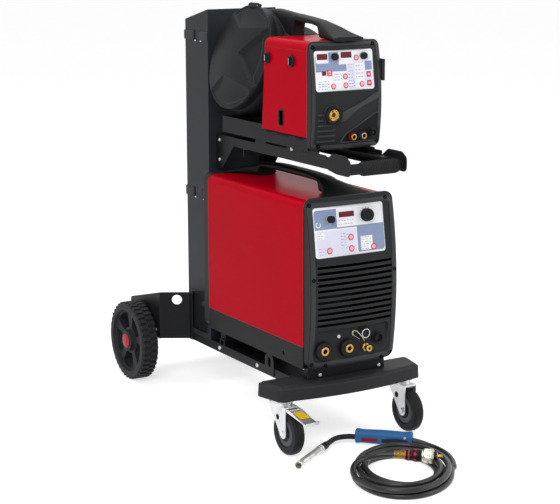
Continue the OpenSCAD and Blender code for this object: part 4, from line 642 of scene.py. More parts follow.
def facing_in(middle):
    """1 where the sheet faces the line x = 0, z = middle: (x, 0, z - middle) . normal < 0; these inner
    faces get painted shade.
    """
    def mask(tree):
        link = tree.links.new
        away = add_node(tree, "VectorMath", "MULTIPLY_ADD")
        away.inputs[1].default_value, away.inputs[2].default_value = (1, 0, 1), (0, 0, -middle)
        faces_out = add_node(tree, "VectorMath", "DOT_PRODUCT")
        link(add_node(tree, "TexCoord").outputs["Object"], away.inputs[0])
        link(away.outputs[0], faces_out.inputs[0])
        link(add_node(tree, "NewGeometry").outputs["True Normal"], faces_out.inputs[1])
        return less(tree, faces_out.outputs["Value"], -0.002)
    return mask


def below(height):
    """1 on the hinge strip under the given height in metres, which gets painted shade."""
    def mask(tree):
        split = add_node(tree, "SeparateXYZ")
        tree.links.new(add_node(tree, "TexCoord").outputs["Object"], split.inputs[0])
        return less(tree, split.outputs["Z"], height)
    return mask


# The inner faces of both covers and the door's hinge strip under its edge are painted dark as shade.
dress(red_with_painted_shade("red_enamel_source_shaded_inside", facing_in(0.45)), "source_cover")
dress(red_with_painted_shade("red_enamel_feeder_shaded_inside", facing_in(1.0)), "feeder_cover")
dress(red_with_painted_shade("red_enamel_door_shaded_hinge", below(0.869)), "feeder_door")
dress(finish("skirt_coat", (20, 21, 24), rough=0.45, drift_scale=6, grain=0.4, round_edge=0.0016,
             edge_wear_highlight=(84, 86, 90)), "source_chassis", "feeder_chassis")
charcoal = finish("charcoal_moulding", (35, 36, 38), rough=0.46, drift_scale=9, grain=0.4, grain_scale=620,
                  round_edge=0.0022, edge_wear_highlight=(96, 98, 100))
dress(charcoal, "source_front", "source_rear", "feeder_front")
dress(finish("drive_casting", (128, 131, 135), rough=0.5, metal=0.6, drift=0.15, drift_scale=30, grain=0.4,
             grain_scale=300, edge_wear_highlight=(170, 172, 175)), "wire_drive", "pressure_arm")
dress(black_gloss, "main_switch", "source_knob_small", "source_knob_large", "feeder_knob_left",
      "feeder_knob_right")
dress(finish("trigger_red", (132, 30, 48), rough=0.45, grain=0.2, edge_wear_highlight=(170, 80, 90)), "torch_trigger")

# ---- Carrying handle of the power source
# A moulded arch, fixed from front to rear, whose feet widen and flow into the cover.
handle_black = finish("handle_moulding", (21, 22, 24), rough=0.44, drift_scale=8, grain=0.35,
                      grain_scale=620, round_edge=0.001, edge_wear_highlight=(80, 82, 86))


def skin(y, x_lo, x_hi, z_lo, z_hi, around=48, power=3.2, lean=0.0):
    """Closed skin along y: at each station a superellipse between two sides and two heights. With a
    lean, its front end moves forwards towards its top."""
    wide, tall = superellipse(around, power)
    x = ((x_lo + x_hi) / 2)[:, None] + ((x_hi - x_lo) / 2)[:, None] * wide[None]
    z = ((z_lo + z_hi) / 2)[:, None] + ((z_hi - z_lo) / 2)[:, None] * tall[None]
    forwards = lean * np.clip((z - 880) / 250, 0, 1) * np.clip((330 - y[:, None]) / 30, 0, 1)
    return place(x, y[:, None] - forwards, z), closed_faces(len(y), around)


y = np.concatenate([np.linspace(46, 146, 30), np.linspace(149, 168, 12), np.linspace(176, 454, 36),
                    np.linspace(462, 481, 12), np.linspace(484, 584, 30)])
s = (y - 315) / 269
top = 708 + 40 * (1 - np.abs(s) ** 3.2)
rise = np.clip((167 - np.abs(y - 315)) / 16, 0, 1)
under = 699.6 + 28.6 * np.sqrt(np.maximum(0, 1 - (1 - rise) ** 2)) * (rise > 0)
flare = 24 + 66 * np.abs(s) ** 4.5
piece("carrying_handle", [skin(y, -flare, flare, under, top)], handle_black,
      replaces=("source_handle",), smooth=50)

# ---- Spool drum, fairing and feeder handle
# A moulded drum that leans back, open to the left, with a hub for the spool; a fairing joins it to
# the casing and carries the arched handle over the casing's top.
LEAN = np.radians(18)
UP_FACE = np.array([np.sin(LEAN), 0, np.cos(LEAN)])
OUT = np.array([-np.cos(LEAN), 0, np.sin(LEAN)])
REAR = np.array([0.0, 1.0, 0.0])
DRUM_R, DRUM_DEEP = 155, 105
drum_at = place(-100, 464, 880 + DRUM_R * np.cos(LEAN) + DRUM_DEEP * np.sin(LEAN))


def on_drum(up, rear, out):
    """A point in millimetres up and to the rear on the drum's face, and out of it."""
    up, rear, out = (v[..., None] / 1000 for v in alike(up, rear, out))
    return drum_at + up * UP_FACE + rear * REAR + out * OUT


drum_plastic = finish("drum_moulding", (26, 27, 29), rough=0.48, drift_scale=8, grain=0.4, grain_scale=620,
                      round_edge=0.002, edge_wear_highlight=(90, 92, 95))
drum = turned([(0, -105), (149, -105), (153, -104), (155, -101), (155, -30), (153.6, -27), (153.6, -24),
               (155, -21), (155, -0.8), (154.2, 0), (152.6, 0), (152, -0.8), (152, -101.8), (26.2, -102),
               (25.8, -101.4), (25.8, -8.4), (24.8, -7.4), (20.6, -7.4), (20, -8.4), (20, -98), (0, -98)],
              drum_at, OUT, 160)


y = np.linspace(314, 498, 24)
t = (y - 314) / 184
roof = 1129 + 22 * np.sin(np.pi * np.clip(t * 1.1, 0, 1)) - 52 * t ** 3
fairing = skin(y, -40 + 0 * y, 98 - 26 * t ** 2, 880.5 + 0 * y, roof, 56, 5.0, 13)
y = np.concatenate([np.linspace(44, 160, 40), np.linspace(163, 178, 12), np.linspace(184, 282, 16),
                    np.linspace(286, 300, 12), np.linspace(304, 470, 40)])
top = np.interp(y, [44, 60, 80, 95, 120, 150, 190, 224, 280, 345, 413, 450, 470],
                [1139, 1144, 1150, 1155, 1164, 1172, 1178, 1182, 1187, 1193, 1199, 1195, 1184])
top = np.convolve(np.pad(top, 3, mode="edge"), np.ones(7) / 7, mode="valid")
opening = np.clip(np.minimum(y - 162, 301 - y) / 14, 0, 1)
under = np.where(y < 302, 1128.6, 1104.0)
arc_up = np.sqrt(np.maximum(0, 1 - (1 - opening) ** 2)) * (opening > 0)
under = under + (np.interp(y, [162, 205, 301], [1157, 1165, 1168]) - 1128.6) * arc_up
half = np.interp(y, [44, 150, 172, 330, 470], [48, 25, 21.5, 20, 28])
feeder_handle = skin(y, -half, half, under, top, power=4.0)
ears = []
a = np.linspace(0, 2 * np.pi, 20, endpoint=False)
for rear in (-27, 27):
    ring = [on_drum(DRUM_R + 1 + 4.9 * np.cos(a), rear + face, -3 + 4.5 * np.sin(a)) for face in (-4, 4)]
    ears.append((np.concatenate(ring), closed_faces(2, 20)))
piece("spool_drum", [drum, fairing, feeder_handle] + ears, drum_plastic,
      replaces=("spool_housing",), smooth=40)

# ---- Drum lid
# A dished moulding with three scooped facets that leave a swirl of raised arms; hinged at the top.
radius = np.concatenate([np.linspace(0, 140, 110), np.linspace(141, 151.5, 14),
                         155 - 3.5 * (1 - np.sin(np.linspace(0.2, np.pi / 2, 7)))])
angle = np.linspace(0, 2 * np.pi, 288, endpoint=False)
lid_x, lid_y = radius[:, None] * np.cos(angle), radius[:, None] * np.sin(angle)


def scoop(apex, middle, spread, soft_before, soft_after, deep):
    """A wedge from an apex, deepening steeply inwards from its two sides: d (1 - (1 - t)^2), t =
    distance to a side / soft."""
    u, w = lid_x - apex[0], lid_y - apex[1]
    off = (np.degrees(np.arctan2(w, u)) - middle + 180) % 360 - 180
    away = np.hypot(u, w)
    before = away * np.sin(np.radians(np.clip(spread + off, -90, 90))) / soft_before
    after = away * np.sin(np.radians(np.clip(spread - off, -90, 90))) / soft_after
    t = np.clip(np.minimum(before, after), 0, 1) * (np.abs(off) < spread)
    return deep * (1 - (1 - t) ** 2)


crown = 20 - 12 * (radius[:, None] / DRUM_R) ** 2 + 3.5 * (1 - np.clip(radius[:, None] / 120, 0, 1) ** 2)
SCOOPS = (((79, 19), -13.5, 71.5, 46, 11, 8.5), ((-61, 30), 191.5, 67.5, 10, 50, 8.5),
          ((6, -22), -90, 41, 16, 16, 11))
cut = sum(scoop(*wedge) for wedge in SCOOPS)
cut = cut * np.clip((156 - radius[:, None]) / 9, 0.15, 1)
edge_drop = 4.0 * np.clip((radius[:, None] - 148) / 7, 0, 1) ** 2
front = crown - cut - edge_drop
inner_r = np.array([154.4, 150, 147, 100, 50, 0])
inner_z = np.array([0.4, 0.4, 1.6, 2.2, 3.0, 3.0])
all_r = np.concatenate([radius, inner_r])
all_z = np.concatenate([front, np.broadcast_to(inner_z[:, None], (6, 288))])
lid_points = on_drum(all_r[:, None] * np.cos(angle), all_r[:, None] * np.sin(angle), all_z)
pin_at = on_drum(159, 0, 0)
knuckle = turned([(0, -22), (3.2, -22), (3.5, -21.6), (3.5, 21.6), (3.2, 22), (0, 22)], pin_at, (0, 1, 0),
                 24)
tab = on_drum(*np.array([[u, w, n] for u in (148, 158.5) for w in (-20, 20) for n in (2.2, 6.4)]).T)
piece("drum_lid", [(lid_points, grid_faces(len(all_r), 288)), knuckle, (tab, BLOCK_FACES)], drum_plastic,
      body="spool_lid", replaces=("spool_lid",), smooth=28)

# ---- Wire spool
# A moulded reel of copper-coated wire, wound in close turns between two flanges.
reel_black = finish("reel_moulding", (28, 28, 31), rough=0.5, drift_scale=20, grain=0.3)
copper = finish("copper_wire", (188, 116, 78), rough=0.3, metal=1.0, drift=0.12, drift_scale=50)
add_bands(copper, "X", 260, 0.6, 0.0006)
spool_base = on_drum(0, 0, -DRUM_DEEP + 3.3)
piece("spool_reel",
      [turned([(26, 0), (149.4, 0), (150, 0.6), (150, 3.4), (149.4, 4), (60, 4), (60, 91), (149.4, 91),
               (150, 91.6), (150, 94.4), (149.4, 95), (26, 95), (26, 0)], spool_base, OUT, 128)],
      reel_black, body="wire_spool", replaces=("wire_spool",))
piece("spool_wire",
      [turned([(60.2, 4.2), (131, 4.2), (132, 5.4), (132, 89.6), (131, 90.8), (60.2, 90.8), (60.2, 4.2)],
              spool_base, OUT, 128)], copper, body="wire_spool")

# ---- Front panels
# Printed polyester foils on flat plates. The printing is laid on as 0.15 mm thick fields; the small
# red windows are the numeric displays behind dark red filters.
panel_white = finish("panel_white", (236, 237, 242), drift=0.03, drift_scale=20, round_edge=0.0006)
panel_blue = finish("panel_blue", (138, 150, 182), drift=0.05, drift_scale=20, round_edge=0.0002)
panel_pale = finish("panel_lavender", (220, 220, 238), drift=0.03, drift_scale=20, round_edge=0.0002)
panel_ink = finish("panel_ink", (96, 98, 110), rough=0.4, round_edge=0.0001)
ring_red = finish("key_ring_red", (202, 74, 96), drift_scale=90, round_edge=0.0002)
key_pink = finish("key_cap", (244, 176, 190), rough=0.32, drift=0.06, drift_scale=90, round_edge=0.0006)
dress(panel_white, "source_panel", "feeder_panel")
dress(key_pink, *["source_button_%d" % k for k in (1, 2, 3, 4)],
      *["feeder_button_%d" % k for k in (1, 2, 3, 4, 5)])
SOURCE_DOME_R, SOURCE_MID = 1200, 440  # the domed front of the power source, about its middle height
FEEDER_DOME_R, FEEDER_MID, FEEDER_Y = 700, 960, 42
SOURCE_PANEL, FEEDER_PANEL = 614, 1050  # middle heights of the two panels
SOURCE_TILT = np.arcsin((SOURCE_PANEL - SOURCE_MID) / SOURCE_DOME_R)
FEEDER_TILT = np.arcsin((FEEDER_PANEL - FEEDER_MID) / FEEDER_DOME_R)


def panel(tilt, x0, y0, z0, sink):
    """The map from millimetres across, up and out of a tilted panel to the set."""
    def at(u, v, n=0.0):
        u, v, n = alike(u, v, np.asarray(n) - sink)
        return place(x0 + u, y0 + v * np.sin(tilt) - n * np.cos(tilt),
                     z0 + v * np.cos(tilt) + n * np.sin(tilt))
    return at


source_at = panel(SOURCE_TILT, -9.5, SOURCE_DOME_R * (1 - np.cos(SOURCE_TILT)), SOURCE_PANEL, 6.6)
feeder_at = panel(FEEDER_TILT, -5.5, FEEDER_Y + FEEDER_DOME_R * (1 - np.cos(FEEDER_TILT)), FEEDER_PANEL,
                  7.4)


def outline(at, corners, rise=0.15, base=-0.05):
    """A flat field with the given corners, each at the two heights base and rise over the panel's face."""
    u, v = np.asarray(corners, float).T
    return np.concatenate([at(u, v, base), at(u, v, rise)]), closed_faces(2, len(u))


def patch(at, lo, hi, r=2.0, rise=0.15, base=-0.05):
    """A rounded rectangle from its lower left to its upper right corner, rise thick on the panel's face."""
    a = np.radians(np.arange(0, 360, 15)) + np.radians(7.5)
    cx, cy = (lo[0] + hi[0]) / 2, (lo[1] + hi[1]) / 2
    u = cx + np.sign(np.cos(a)) * ((hi[0] - lo[0]) / 2 - r) + r * np.cos(a)
    v = cy + np.sign(np.sin(a)) * ((hi[1] - lo[1]) / 2 - r) + r * np.sin(a)
    return outline(at, np.stack([u, v], 1), rise, base)


def ring_print(at, centre, inner, outer, rise=0.2, start=0.0, sweep=360.0, around=48, base=-0.05):
    """A flat ring, or a sector of one."""
    a = np.radians(start + np.linspace(0, sweep, around, endpoint=sweep < 360))
    r = np.array([[inner, base], [outer, base], [outer, rise], [inner, rise]])
    u = centre[0] + np.cos(a)[:, None] * r[:, 0]
    v = centre[1] + np.sin(a)[:, None] * r[:, 0]
    n = np.broadcast_to(r[:, 1], u.shape)
    faces = grid_faces(len(a), 4, wrap_rows=sweep >= 360)
    if sweep < 360:
        faces += [[0, 1, 2, 3], [4 * len(a) - 4 + k for k in range(4)]]
    return at(u, v, n), faces


source_keys = [(-69.5, -51.5), (2.5, -20), (2.5, -51.5), (75.5, -53.5)]
feeder_keys = [(40.5, 32.3), (1.5, -17), (-38.5, -42.3), (1.5, -41.3), (54.5, -40.3)]
piece("panel_blue_fields",
      [outline(source_at, [(-112.5, 8), (-39.5, 8), (-39.5, 62), (-106, 62), (-109.5, 60), (-112.5, 55)]),
       outline(source_at, [(-41, 7), (24, 7), (24, -60), (27, -63.5), (106, -63.5), (110, -61),
                           (112.5, -55), (112.5, 10.5), (-41, 10.5)]),
       outline(feeder_at, [(-92, -2), (7, -2), (7, 16), (-17, 16), (-17, 50), (-50, 50), (-50, 21),
                           (-86, 21), (-88, 44), (-92, 40)]),
       outline(feeder_at, [(67, -2), (90, -2), (90, 22), (67, 22)])], panel_blue)
piece("panel_pale_fields",
      [patch(source_at, (-108, -65), (21, 3.5), 2.5), patch(feeder_at, (64, -50), (91, -3), 2),
       patch(feeder_at, (10, -50), (34, 18), 2)], panel_pale)
piece("panel_labels", [patch(source_at, (34, -60), (73, -21), 1.5, 0.25),
                       patch(source_at, (-106, -18), (-82, 0.5), 1.5, 0.25),
                       patch(feeder_at, (-90, 22), (-49.5, 51), 3, 0.25)], panel_white)
rng = np.random.default_rng(7)
dashes = []
for at, areas in ((source_at, ((36, -57, 62, -24, 6), (-104, -15, -86, -2, 3), (-30, -48, -12, -8, 6),
                               (-103, -61, -84, -44, 3), (-34, 18, 14, 28, 2))),
                  (feeder_at, ((12, -46, 30, 14, 8), (-34, -25, -12, -10, 3), (-86, -48, -52, -28, 4),
                               (-90, 1, -55, 14, 2), (36, -20, 62, 20, 5)))):
    for u0, v0, u1, v1, rows_of in areas:
        for v in np.linspace(v0, v1, rows_of):
            u = u0
            while u < u1 - 3:
                w = rng.uniform(2.5, 8)
                dashes.append(patch(at, (u, v - 0.55), (min(u + w, u1), v + 0.55), 0.4, 0.32))
                u += w + rng.uniform(1.5, 5)
SCALES = ((source_at, (-60.5, 34.4), 12, 14.5, 0.05), (source_at, (57.5, 36.4), 19.5, 22.5, 0.035),
          (feeder_at, (-30.5, 37.3), 10.5, 12.5, 0.05), (feeder_at, (63.5, 36.3), 10.5, 12.5, 0.05))
ticks = []
for at, knob, inner, outer, half in SCALES:
    for a in np.radians(np.arange(-45, 226, 27)):
        polar = ((a - half, inner), (a - half, outer), (a + half, outer), (a + half, inner))
        ticks.append(outline(at, [(knob[0] + np.cos(b) * r, knob[1] + np.sin(b) * r) for b, r in polar],
                             0.3))
piece("panel_printing", dashes + ticks, panel_ink)
piece("panel_icons", [ring_print(source_at, (-60.5, 34.4), 11.2, 12.4, 0.3),
                      ring_print(source_at, (-100, 22), 5.5, 8, 0.3, 100, 300)], panel_white)
piece("key_rings", [ring_print(source_at, k, 6.3, 9.2, 0.4) for k in source_keys]
      + [ring_print(feeder_at, k, 5.8, 8, 0.4) for k in feeder_keys], ring_red)
piece("membrane_pads", [patch(feeder_at, (-56.5, -14), (-40, 2.5), 3, 0.7),
                        patch(feeder_at, (71, -22), (85, -6), 4, 0.7),
                        patch(feeder_at, (71, -46), (86, -30), 4, 0.7)], ring_red)
piece("membrane_pad_marks", [patch(feeder_at, (-53, -4.6), (-43.5, 0), 1, 0.9),
                             patch(feeder_at, (-53, -11.5), (-43.5, -7), 1, 0.9),
                             patch(feeder_at, (74.5, -17), (81.5, -11), 2, 0.9),
                             patch(feeder_at, (74.5, -41), (82.5, -35), 2, 0.9)], key_pink)
SOURCE_LAMPS = ((-9, -12), (-9, -22), (-9, -46), (-84, -48), (66, -30), (66, -40))
FEEDER_LAMPS = ((-12, -14), (-12, -22), (-54, -36), (-54, -44), (30, -34), (30, -44))
piece("signal_lamps",
      [ring_print(at, c, 0.0, 1.1, 0.6, around=16) for at, lamps in ((source_at, SOURCE_LAMPS),
           (feeder_at, FEEDER_LAMPS)) for c in lamps],
      finish("signal_lamp_green", (60, 120, 74), rough=0.25, drift_scale=90, grain=0.02))
dark_red = finish("display_filter", (84, 4, 14), rough=0.16, drift=0.15, grain=0.02, round_edge=0.0003,
                  coat=0.6)
dress(dark_red, "displays")
digits = []
for at, centre, count, tall in ((source_at, (-7, 44.5), 3, 9.5), (feeder_at, (-69.5, 38.8), 3, 9),
                                (feeder_at, (8, 41.3), 3, 9), (feeder_at, (-66.5, -6), 1, 8)):
    wide = tall * 0.5
    for k in range(count):
        c = centre[0] + (k - (count - 1) / 2) * (wide + 3.6)
        for u, v, across in ((0, 1, 1), (0, 0, 1), (0, -1, 1), (-1, 0.5, 0), (1, 0.5, 0), (-1, -0.5, 0),
                             (1, -0.5, 0)):
            su, sv = (wide / 2 - 0.7, 0.45) if across else (0.45, tall / 4 - 0.6)
            mu, mv = c + u * wide / 2, centre[1] + v * tall / 2
            digits.append(patch(at, (mu - su, mv - sv), (mu + su, mv + sv), 0.3, 1.32, 1.0))
piece("display_segments", digits, finish("display_segment", (176, 28, 40), rough=0.3, drift_scale=90,
                                         grain=0.02))

# ---- Sockets of the power source
# Two black insulated current sockets with brass sleeves, a brass gas tail with its nut, a plated
# control socket with a retaining strap and a black remote socket under a snap-on cap.
LEFT_CURRENT, RIGHT_CURRENT, GAS, CONTROL, REMOTE = (-98, 283), (-18, 281), (42, 275), (38, 316), (82, 297)
FRONT = (0, -1, 0)
FIELD_Y = 17.0  # the flat field that the sockets sit in


def lathe(profile, x, z, y=FIELD_Y, around=64, **more):
    """Turned about the way out of the front: heights are counted forwards from y."""
    return turned(profile, place(x, y, z), FRONT, around, **more)


insulator_ring = [(8, -1), (26, -1), (26, 9.5), (25.2, 12), (23.5, 13.6), (15, 14), (13.8, 13.4),
                  (13, 11.6), (12.6, 9), (12.6, 4), (8, 4), (8, -1)]
piece("socket_insulators", [lathe(insulator_ring, *c) for c in (LEFT_CURRENT, RIGHT_CURRENT)]
      + [lathe([(0, -1), (18, -1), (18, 3), (17, 4), (14.2, 4), (14, 12), (13, 13.4), (11.4, 13.4),
                (11, 12), (11, 5), (0, 5)], *REMOTE)]
      + [lathe([(6.6, -37), (18, -37), (18, -2), (6.6, -2), (6.6, -37)], *c)
         for c in (LEFT_CURRENT, RIGHT_CURRENT)], black_gloss,
      replaces=("source_sockets",))
piece("socket_brass_sleeves",
      [lathe([(6.6, -24), (6.6, 15.2), (7.4, 16), (11.6, 16), (12.5, 15.2), (12.5, 10), (8.4, 9),
              (8.4, -24), (6.6, -24)], *c) for c in (LEFT_CURRENT, RIGHT_CURRENT)]
      + [turned([(0, 0), (12, 0), (12, 7), (11, 8), (0, 8)], place(GAS[0], FIELD_Y, GAS[1]), FRONT, 6),
         lathe([(0, 0), (8, 0), (8, 19.5), (9.5, 20.6), (9.5, 24), (8.6, 25), (4.4, 25), (4, 24.4), (4, 4),
                (0, 4)], *GAS, around=48)], brass)
piece("control_socket_flange",
      [patch(panel(0.0, CONTROL[0], FIELD_Y, CONTROL[1], 0.0), (-16.5, -16.5), (16.5, 16.5), 3, 3, -1)],
      black_gloss, bevel=0.0004)
piece("control_socket",
      [lathe([(0, 0), (14, 0), (14, 12), (13.4, 13), (11.6, 13), (11, 12.4), (11, 3), (0, 3)], *CONTROL,
             flutes=24, depth=0.4, between=(5, 12))], nickel, bevel=0.0004)
piece("control_socket_insert", [lathe([(0, 2.5), (10.9, 2.5), (10.9, 8), (10, 8.6), (0, 8.6)], *CONTROL)]
      + [lathe([(0, 8), (1.1, 8), (1.1, 10.4), (0.8, 10.9), (0, 10.9)], CONTROL[0] + 6.5 * np.cos(a),
               CONTROL[1] + 6.5 * np.sin(a), around=12) for a in np.radians(np.arange(0, 360, 60))],
      dark_pad)
plate = panel(0.0, 0, FIELD_Y, 0, 0.0)
line = np.array([(23, 300, 2), (17, 304, 3), (9, 309, 6), (0, 314, 9), (-5, 321, 8), (0, 328, 8),
                 (8, 326, 10), (16, 318, 12), (24, 308, 14), (30, 300, 13), (33, 294, 11)])
bail = curve_through(plate(line[:, 0], line[:, 1], line[:, 2]), 8)
piece("cap_retaining_wire", [tube(bail, 0.0011, 10)], nickel, smooth=80)
piece("front_white_plug",
      [lathe([(0, -0.5), (5, -0.5), (5, 1.6), (4.2, 2.6), (0, 3)], -45, 316, around=32)],
      finish("plug_white", (216, 214, 220), rough=0.4, drift=0.06))

# ---- Torch socket and water couplings of the feeder
# A brass central socket in a black ring and two brass quick couplings with red and blue collars; the
# third place is plugged.
TORCH_SOCKET, TORCH_SOCKET_Y = (-49, 930), 44.36
COUPLINGS, COUPLING_Y = ((17, 866), (50, 867), (82, 874)), 52.0
piece("torch_socket_ring",
      [lathe([(15.7, 2.7), (27, 2.7), (27, 7), (26.2, 8.6), (24.6, 9.2), (20.6, 9.2), (18.4, 8.2),
              (16.8, 6), (15.7, 4.6), (15.7, 2.7)], *TORCH_SOCKET, y=TORCH_SOCKET_Y, around=96)],
      black_gloss, replaces=("euro_socket",))
piece("torch_socket_brass",
      [lathe([(6, -40), (15.6, -40), (15.6, 6.2), (15, 6.9), (14.2, 6.6), (13.2, 4.8), (9.6, 4.2), (9, 5),
              (6.8, 5), (6, 4.2), (6, -40)], *TORCH_SOCKET, y=TORCH_SOCKET_Y, around=96)], brass)
# Dark bronze discs at the bottom of the bore and over the two pin holes: painted shade of the holes.
piece("torch_socket_bore",
      [lathe([(0, 0), (6.1, 0), (6.1, 1.4), (2.4, 1.8), (2, 1.2), (2, 0.4), (0, 0.4)], *TORCH_SOCKET,
             y=TORCH_SOCKET_Y)]
      + [lathe([(0, 4), (2.3, 4), (2.3, 5.1), (1.8, 5.3), (1.4, 4.7), (0, 4.7)], TORCH_SOCKET[0] + u,
               TORCH_SOCKET[1] + v, y=TORCH_SOCKET_Y, around=20) for u, v in ((-4, 11), (-8, -9))],
      finish("bore_shade_bronze", (96, 50, 24), rough=0.4, metal=0.8, drift=0.2, drift_scale=90))
piece("coupling_nipples",
      [lathe([(5, -22), (7, -22), (7, 0), (8.4, 1), (8.5, 13.2), (7.8, 14), (5.6, 14), (5, 13.2), (5, -22)],
             *c, y=COUPLING_Y, around=48) for c in COUPLINGS[:2]], brass,
      replaces=("water_couplings",))
blue_collar = finish("coupling_blue", (28, 44, 92), drift=0.12, grain=0.06, edge_wear_highlight=(96, 120, 180), edge_wear_highlight_share=0.5)
collar_red = finish("coupling_red", (112, 20, 26), drift=0.12, grain=0.06, edge_wear_highlight=(180, 70, 70), edge_wear_highlight_share=0.5)
for c, finish_of, name in ((COUPLINGS[0], collar_red, "coupling_collar_return"),
                           (COUPLINGS[1], blue_collar, "coupling_collar_flow")):
    piece(name,
          [lathe([(8.5, 0), (11, 0), (11, 3.6), (10.4, 4.2), (10, 5), (10, 7), (10.6, 7.8), (10.6, 11.6),
                  (9.8, 12.4), (8.5, 12.6), (8.5, 0)], *c, y=COUPLING_Y, around=72, flutes=18, depth=0.5,
                 between=(7.5, 11.8))], finish_of)
piece("coupling_plug",
      [lathe([(0, -20), (7, -20), (7, 0), (14, 0), (14, 2.4), (13.4, 3), (11, 3), (11, 12.2), (10.4, 13),
              (8.6, 13), (8, 12), (8, 6), (0, 6)], *COUPLINGS[2], y=COUPLING_Y)], black_gloss)
piece("coupling_plug_insert",
      [lathe([(0, 5), (5, 5), (5, 8.6), (4.2, 9.4), (0, 9.6)], *COUPLINGS[2], y=COUPLING_Y, around=32)],
      dark_pad)

# ---- Relief of the front mouldings
# A raised rim round each front, the sweeping ridge, the ribs beside the torch socket and the bead round
# the coupling recess, all in a lighter charcoal as painted highlight; a dark sheet on the recess floor as
# painted shade; and the door's latches and lock slot.


def on_dome(y0, radius, mid_z):
    """The map from x, z and a height above the surface of a domed front to the set."""
    def at(x, z, n=0.0):
        x, z, n = alike(x, z, n)
        return place(x, y0 + radius - np.sqrt(radius ** 2 - x ** 2 - (z - mid_z) ** 2) - n, z)
    return at


def loop(lo, hi, r, straight=24, corner=8):
    """Points round a rounded rectangle, evenly along its sides and its corners."""
    mid = np.array([(hi[0] - r, hi[1] - r), (lo[0] + r, hi[1] - r), (lo[0] + r, lo[1] + r),
                    (hi[0] - r, lo[1] + r)])
    points = []
    for k in range(4):
        a = np.pi / 2 * (k + np.linspace(0, 1, corner))
        arc = mid[k] + r * np.stack([np.cos(a), np.sin(a)], 1)
        end = mid[(k + 1) % 4] + r * np.array([np.cos(a[-1]), np.sin(a[-1])])
        points += [arc, arc[-1] + np.linspace(0, 1, straight + 2)[1:-1, None] * (end - arc[-1])]
    return np.concatenate(points)


def rim(at, lo, hi, width, r, high):
    """A raised frame: a flat-topped section swept round a rounded rectangle."""
    lo, hi = np.array(lo, float), np.array(hi, float)
    section = ((0, -0.5), (0.03, 0.45), (0.12, 0.85), (0.28, 1), (0.74, 1), (0.9, 0.8), (0.98, 0.4),
               (1, -0.5))
    turns = [loop(lo + f * width, hi - f * width, max(r - f * width * 0.5, 2)) for f, _ in section]
    loops = np.stack(turns, 1)
    up = np.array([h for _, h in section]) * high
    points = at(loops[..., 0], loops[..., 1], np.broadcast_to(up, loops.shape[:2]))
    return points, grid_faces(loops.shape[0], len(section), wrap_rows=True)


source_dome = on_dome(0, SOURCE_DOME_R, SOURCE_MID)
feeder_dome = on_dome(FEEDER_Y, FEEDER_DOME_R, FEEDER_MID)
# A lighter copy of the charcoal moulding for the raised parts: painted highlight of the rims, ridge, ribs
# and bead.
lit_relief_charcoal = finish("charcoal_relief_highlit", (50, 52, 54), rough=0.42, drift_scale=9, grain=0.4, grain_scale=620,
                round_edge=0.0016, edge_wear_highlight=(104, 106, 108), gloss=0.2)
piece("moulding_rims", [rim(source_dome, (-140.5, 236), (140.5, 696), 14, 20, 2.6),
                        rim(feeder_dome, (-112, 837), (112, 1125.5), 10, 15, 2.2)], lit_relief_charcoal)
upper = curve_through([(-27, 932, 0), (-5, 943, 0), (21, 952.5, 0), (48, 964, 0), (73, 976, 0),
                       (92, 983, 0), (103.5, 987, 0)], 6)[:, :2]
lower = curve_through([(-24, 906, 0), (-4, 914, 0), (15, 928, 0), (38, 943, 0), (66, 955, 0), (92, 963, 0),
                       (103.5, 967, 0)], 6)[:, :2]
across = np.array([0, 0.03, 0.1, 0.24, 0.5, 0.78, 1])
raised = np.array([-0.6, 3.4, 5.0, 5.2, 3.6, 1.6, -0.6])
band = upper[:, None] + across[None, :, None] * (lower - upper)[:, None]
ridge = (feeder_dome(band[..., 0], band[..., 1], np.broadcast_to(raised, band.shape[:2])),
         closed_faces(len(upper), len(across)))
ribs = []
for k, end in enumerate((-41, -41, -42, -43, -76, -80)):
    t = np.linspace(0, 1, 16)[:, None]
    b = np.linspace(0, np.pi, 9)[None]
    slim = np.sqrt(np.clip(np.minimum(t, 1 - t) * (end + 95) / 3.4, 0.04, 1))
    ribs.append((feeder_dome(-95 + t * (end + 95) + 0 * b, 858 + 14.5 * k + 3.4 * slim * np.cos(b),
                             4.4 * slim * np.sin(b) - 0.2), closed_faces(16, 9)))
piece("feeder_ridge_and_ribs", [ridge] + ribs, lit_relief_charcoal, smooth=50)
recess = np.array([(-22, 852), (-6, 875), (90, 928), (109, 928), (109, 852)], float)
# A dark sheet over the floor of the coupling recess: painted shade of the deep recess.
piece("coupling_recess_shade_floor",
      [outline(panel(0.0, 0, COUPLING_Y, 0, 0.0), [(-19.5, 853.5), (-5, 874), (90.4, 926.5), (107.5, 926.5),
                                                   (107.5, 853.5)], 0.3, -0.3)],
      finish("recess_painted_shade", (11, 11, 13), rough=0.5, drift=0.2, drift_scale=40, grain=0.2, gloss=0.15))
corners = np.concatenate([recess, recess[:1]])
edge = np.concatenate([a + np.linspace(0, 1, 14, endpoint=False)[:, None] * (b - a)
                       for a, b in zip(corners[:-1], corners[1:])])
edge = (np.roll(edge, 1, 0) + edge + np.roll(edge, -1, 0)) / 3
edge = np.concatenate([edge, edge[:2]])
piece("coupling_recess_bead", [tube(feeder_dome(edge[:, 0], edge[:, 1], 0.4), 0.0021, 12)], lit_relief_charcoal,
      smooth=60)


def on_door(y, z, n=0.0):
    """The map from y, z and a height above the outside of the feeder's door to the set."""
    y, z, n = alike(y, z, n)
    return place(-115 - n, y, z)


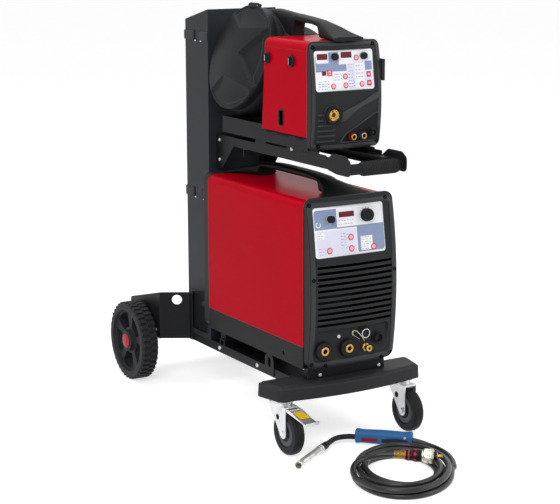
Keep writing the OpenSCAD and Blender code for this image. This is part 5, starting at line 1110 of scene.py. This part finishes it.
piece("door_slot_frame", [rim(on_door, (193, 886), (223, 934), 4, 7, 1.6)], black_gloss)
for name, y in (("latch_front", 150), ("latch_rear", 278)):
    knob = turned([(0, -7), (5, -7), (5, -6.5), (9, -6.5), (9, -3.3), (5, -3.3), (5, 0.3), (15.4, 0.3),
                   (16.2, 1.4), (16, 4), (14.8, 6.6), (12.4, 8), (11, 8), (10.6, 7), (0, 6.6)],
                  place(-115, y, 1072), (-1, 0, 0), 64)
    piece(name + "_knob", [knob] + at_boxes(((-126.5, y - 3.6, 1060.5), (-120, y + 3.6, 1083.5))),
          black_gloss, body=name, replaces=(name,), bevel=0.0008)
    piece(name + "_slot", at_boxes(((-127, y - 0.9, 1064), (-126, y + 0.9, 1080))), zinc, body=name,
          bevel=0.0002)

# ---- Screws of the mouldings
# Black socket-head screws sunk almost level with the front mouldings of both casings.


def sunk_screw(at, axis, r=5.4):
    """A socket head in its counterbore: a dark ring, a flat head with a hexagonal well."""
    return turned([(0, -4), (r, -4), (r, 0.25), (r * 0.82, 0.3), (r * 0.78, -0.8), (r * 0.72, -0.9),
                   (r * 0.66, -0.4), (r * 0.4, -0.3), (r * 0.36, -2), (0, -2.2)], at, axis, 24)


SOURCE_SCREWS = ((-133, 690), (-134, 486), (115, 692), (133, 490), (-131, 246), (-88, 238), (100, 237),
                 (131, 246))
FEEDER_SCREWS = ((-102, 1114), (-90, 845), (92, 1118), (104, 848))


def dome_screws(places, y0, radius, mid_z, proud):
    """A screw at each x, z of a domed front, square to the dome, its face proud of it."""
    made = []
    for x, z in places:
        y = y0 + radius - np.sqrt(radius ** 2 - x * x - (z - mid_z) ** 2) - proud
        made.append(sunk_screw(place(x, y, z), (x / radius, -1, (z - mid_z) / radius)))
    return made


piece("moulding_screws", dome_screws(SOURCE_SCREWS, 0, SOURCE_DOME_R, SOURCE_MID, 3.7)
      + dome_screws(FEEDER_SCREWS, FEEDER_Y, FEEDER_DOME_R, FEEDER_MID, 3.3),
      finish("screw_black", (5, 5, 6), rough=0.6, grain=0.1, gloss=0.04))

bpy.context.view_layer.update()
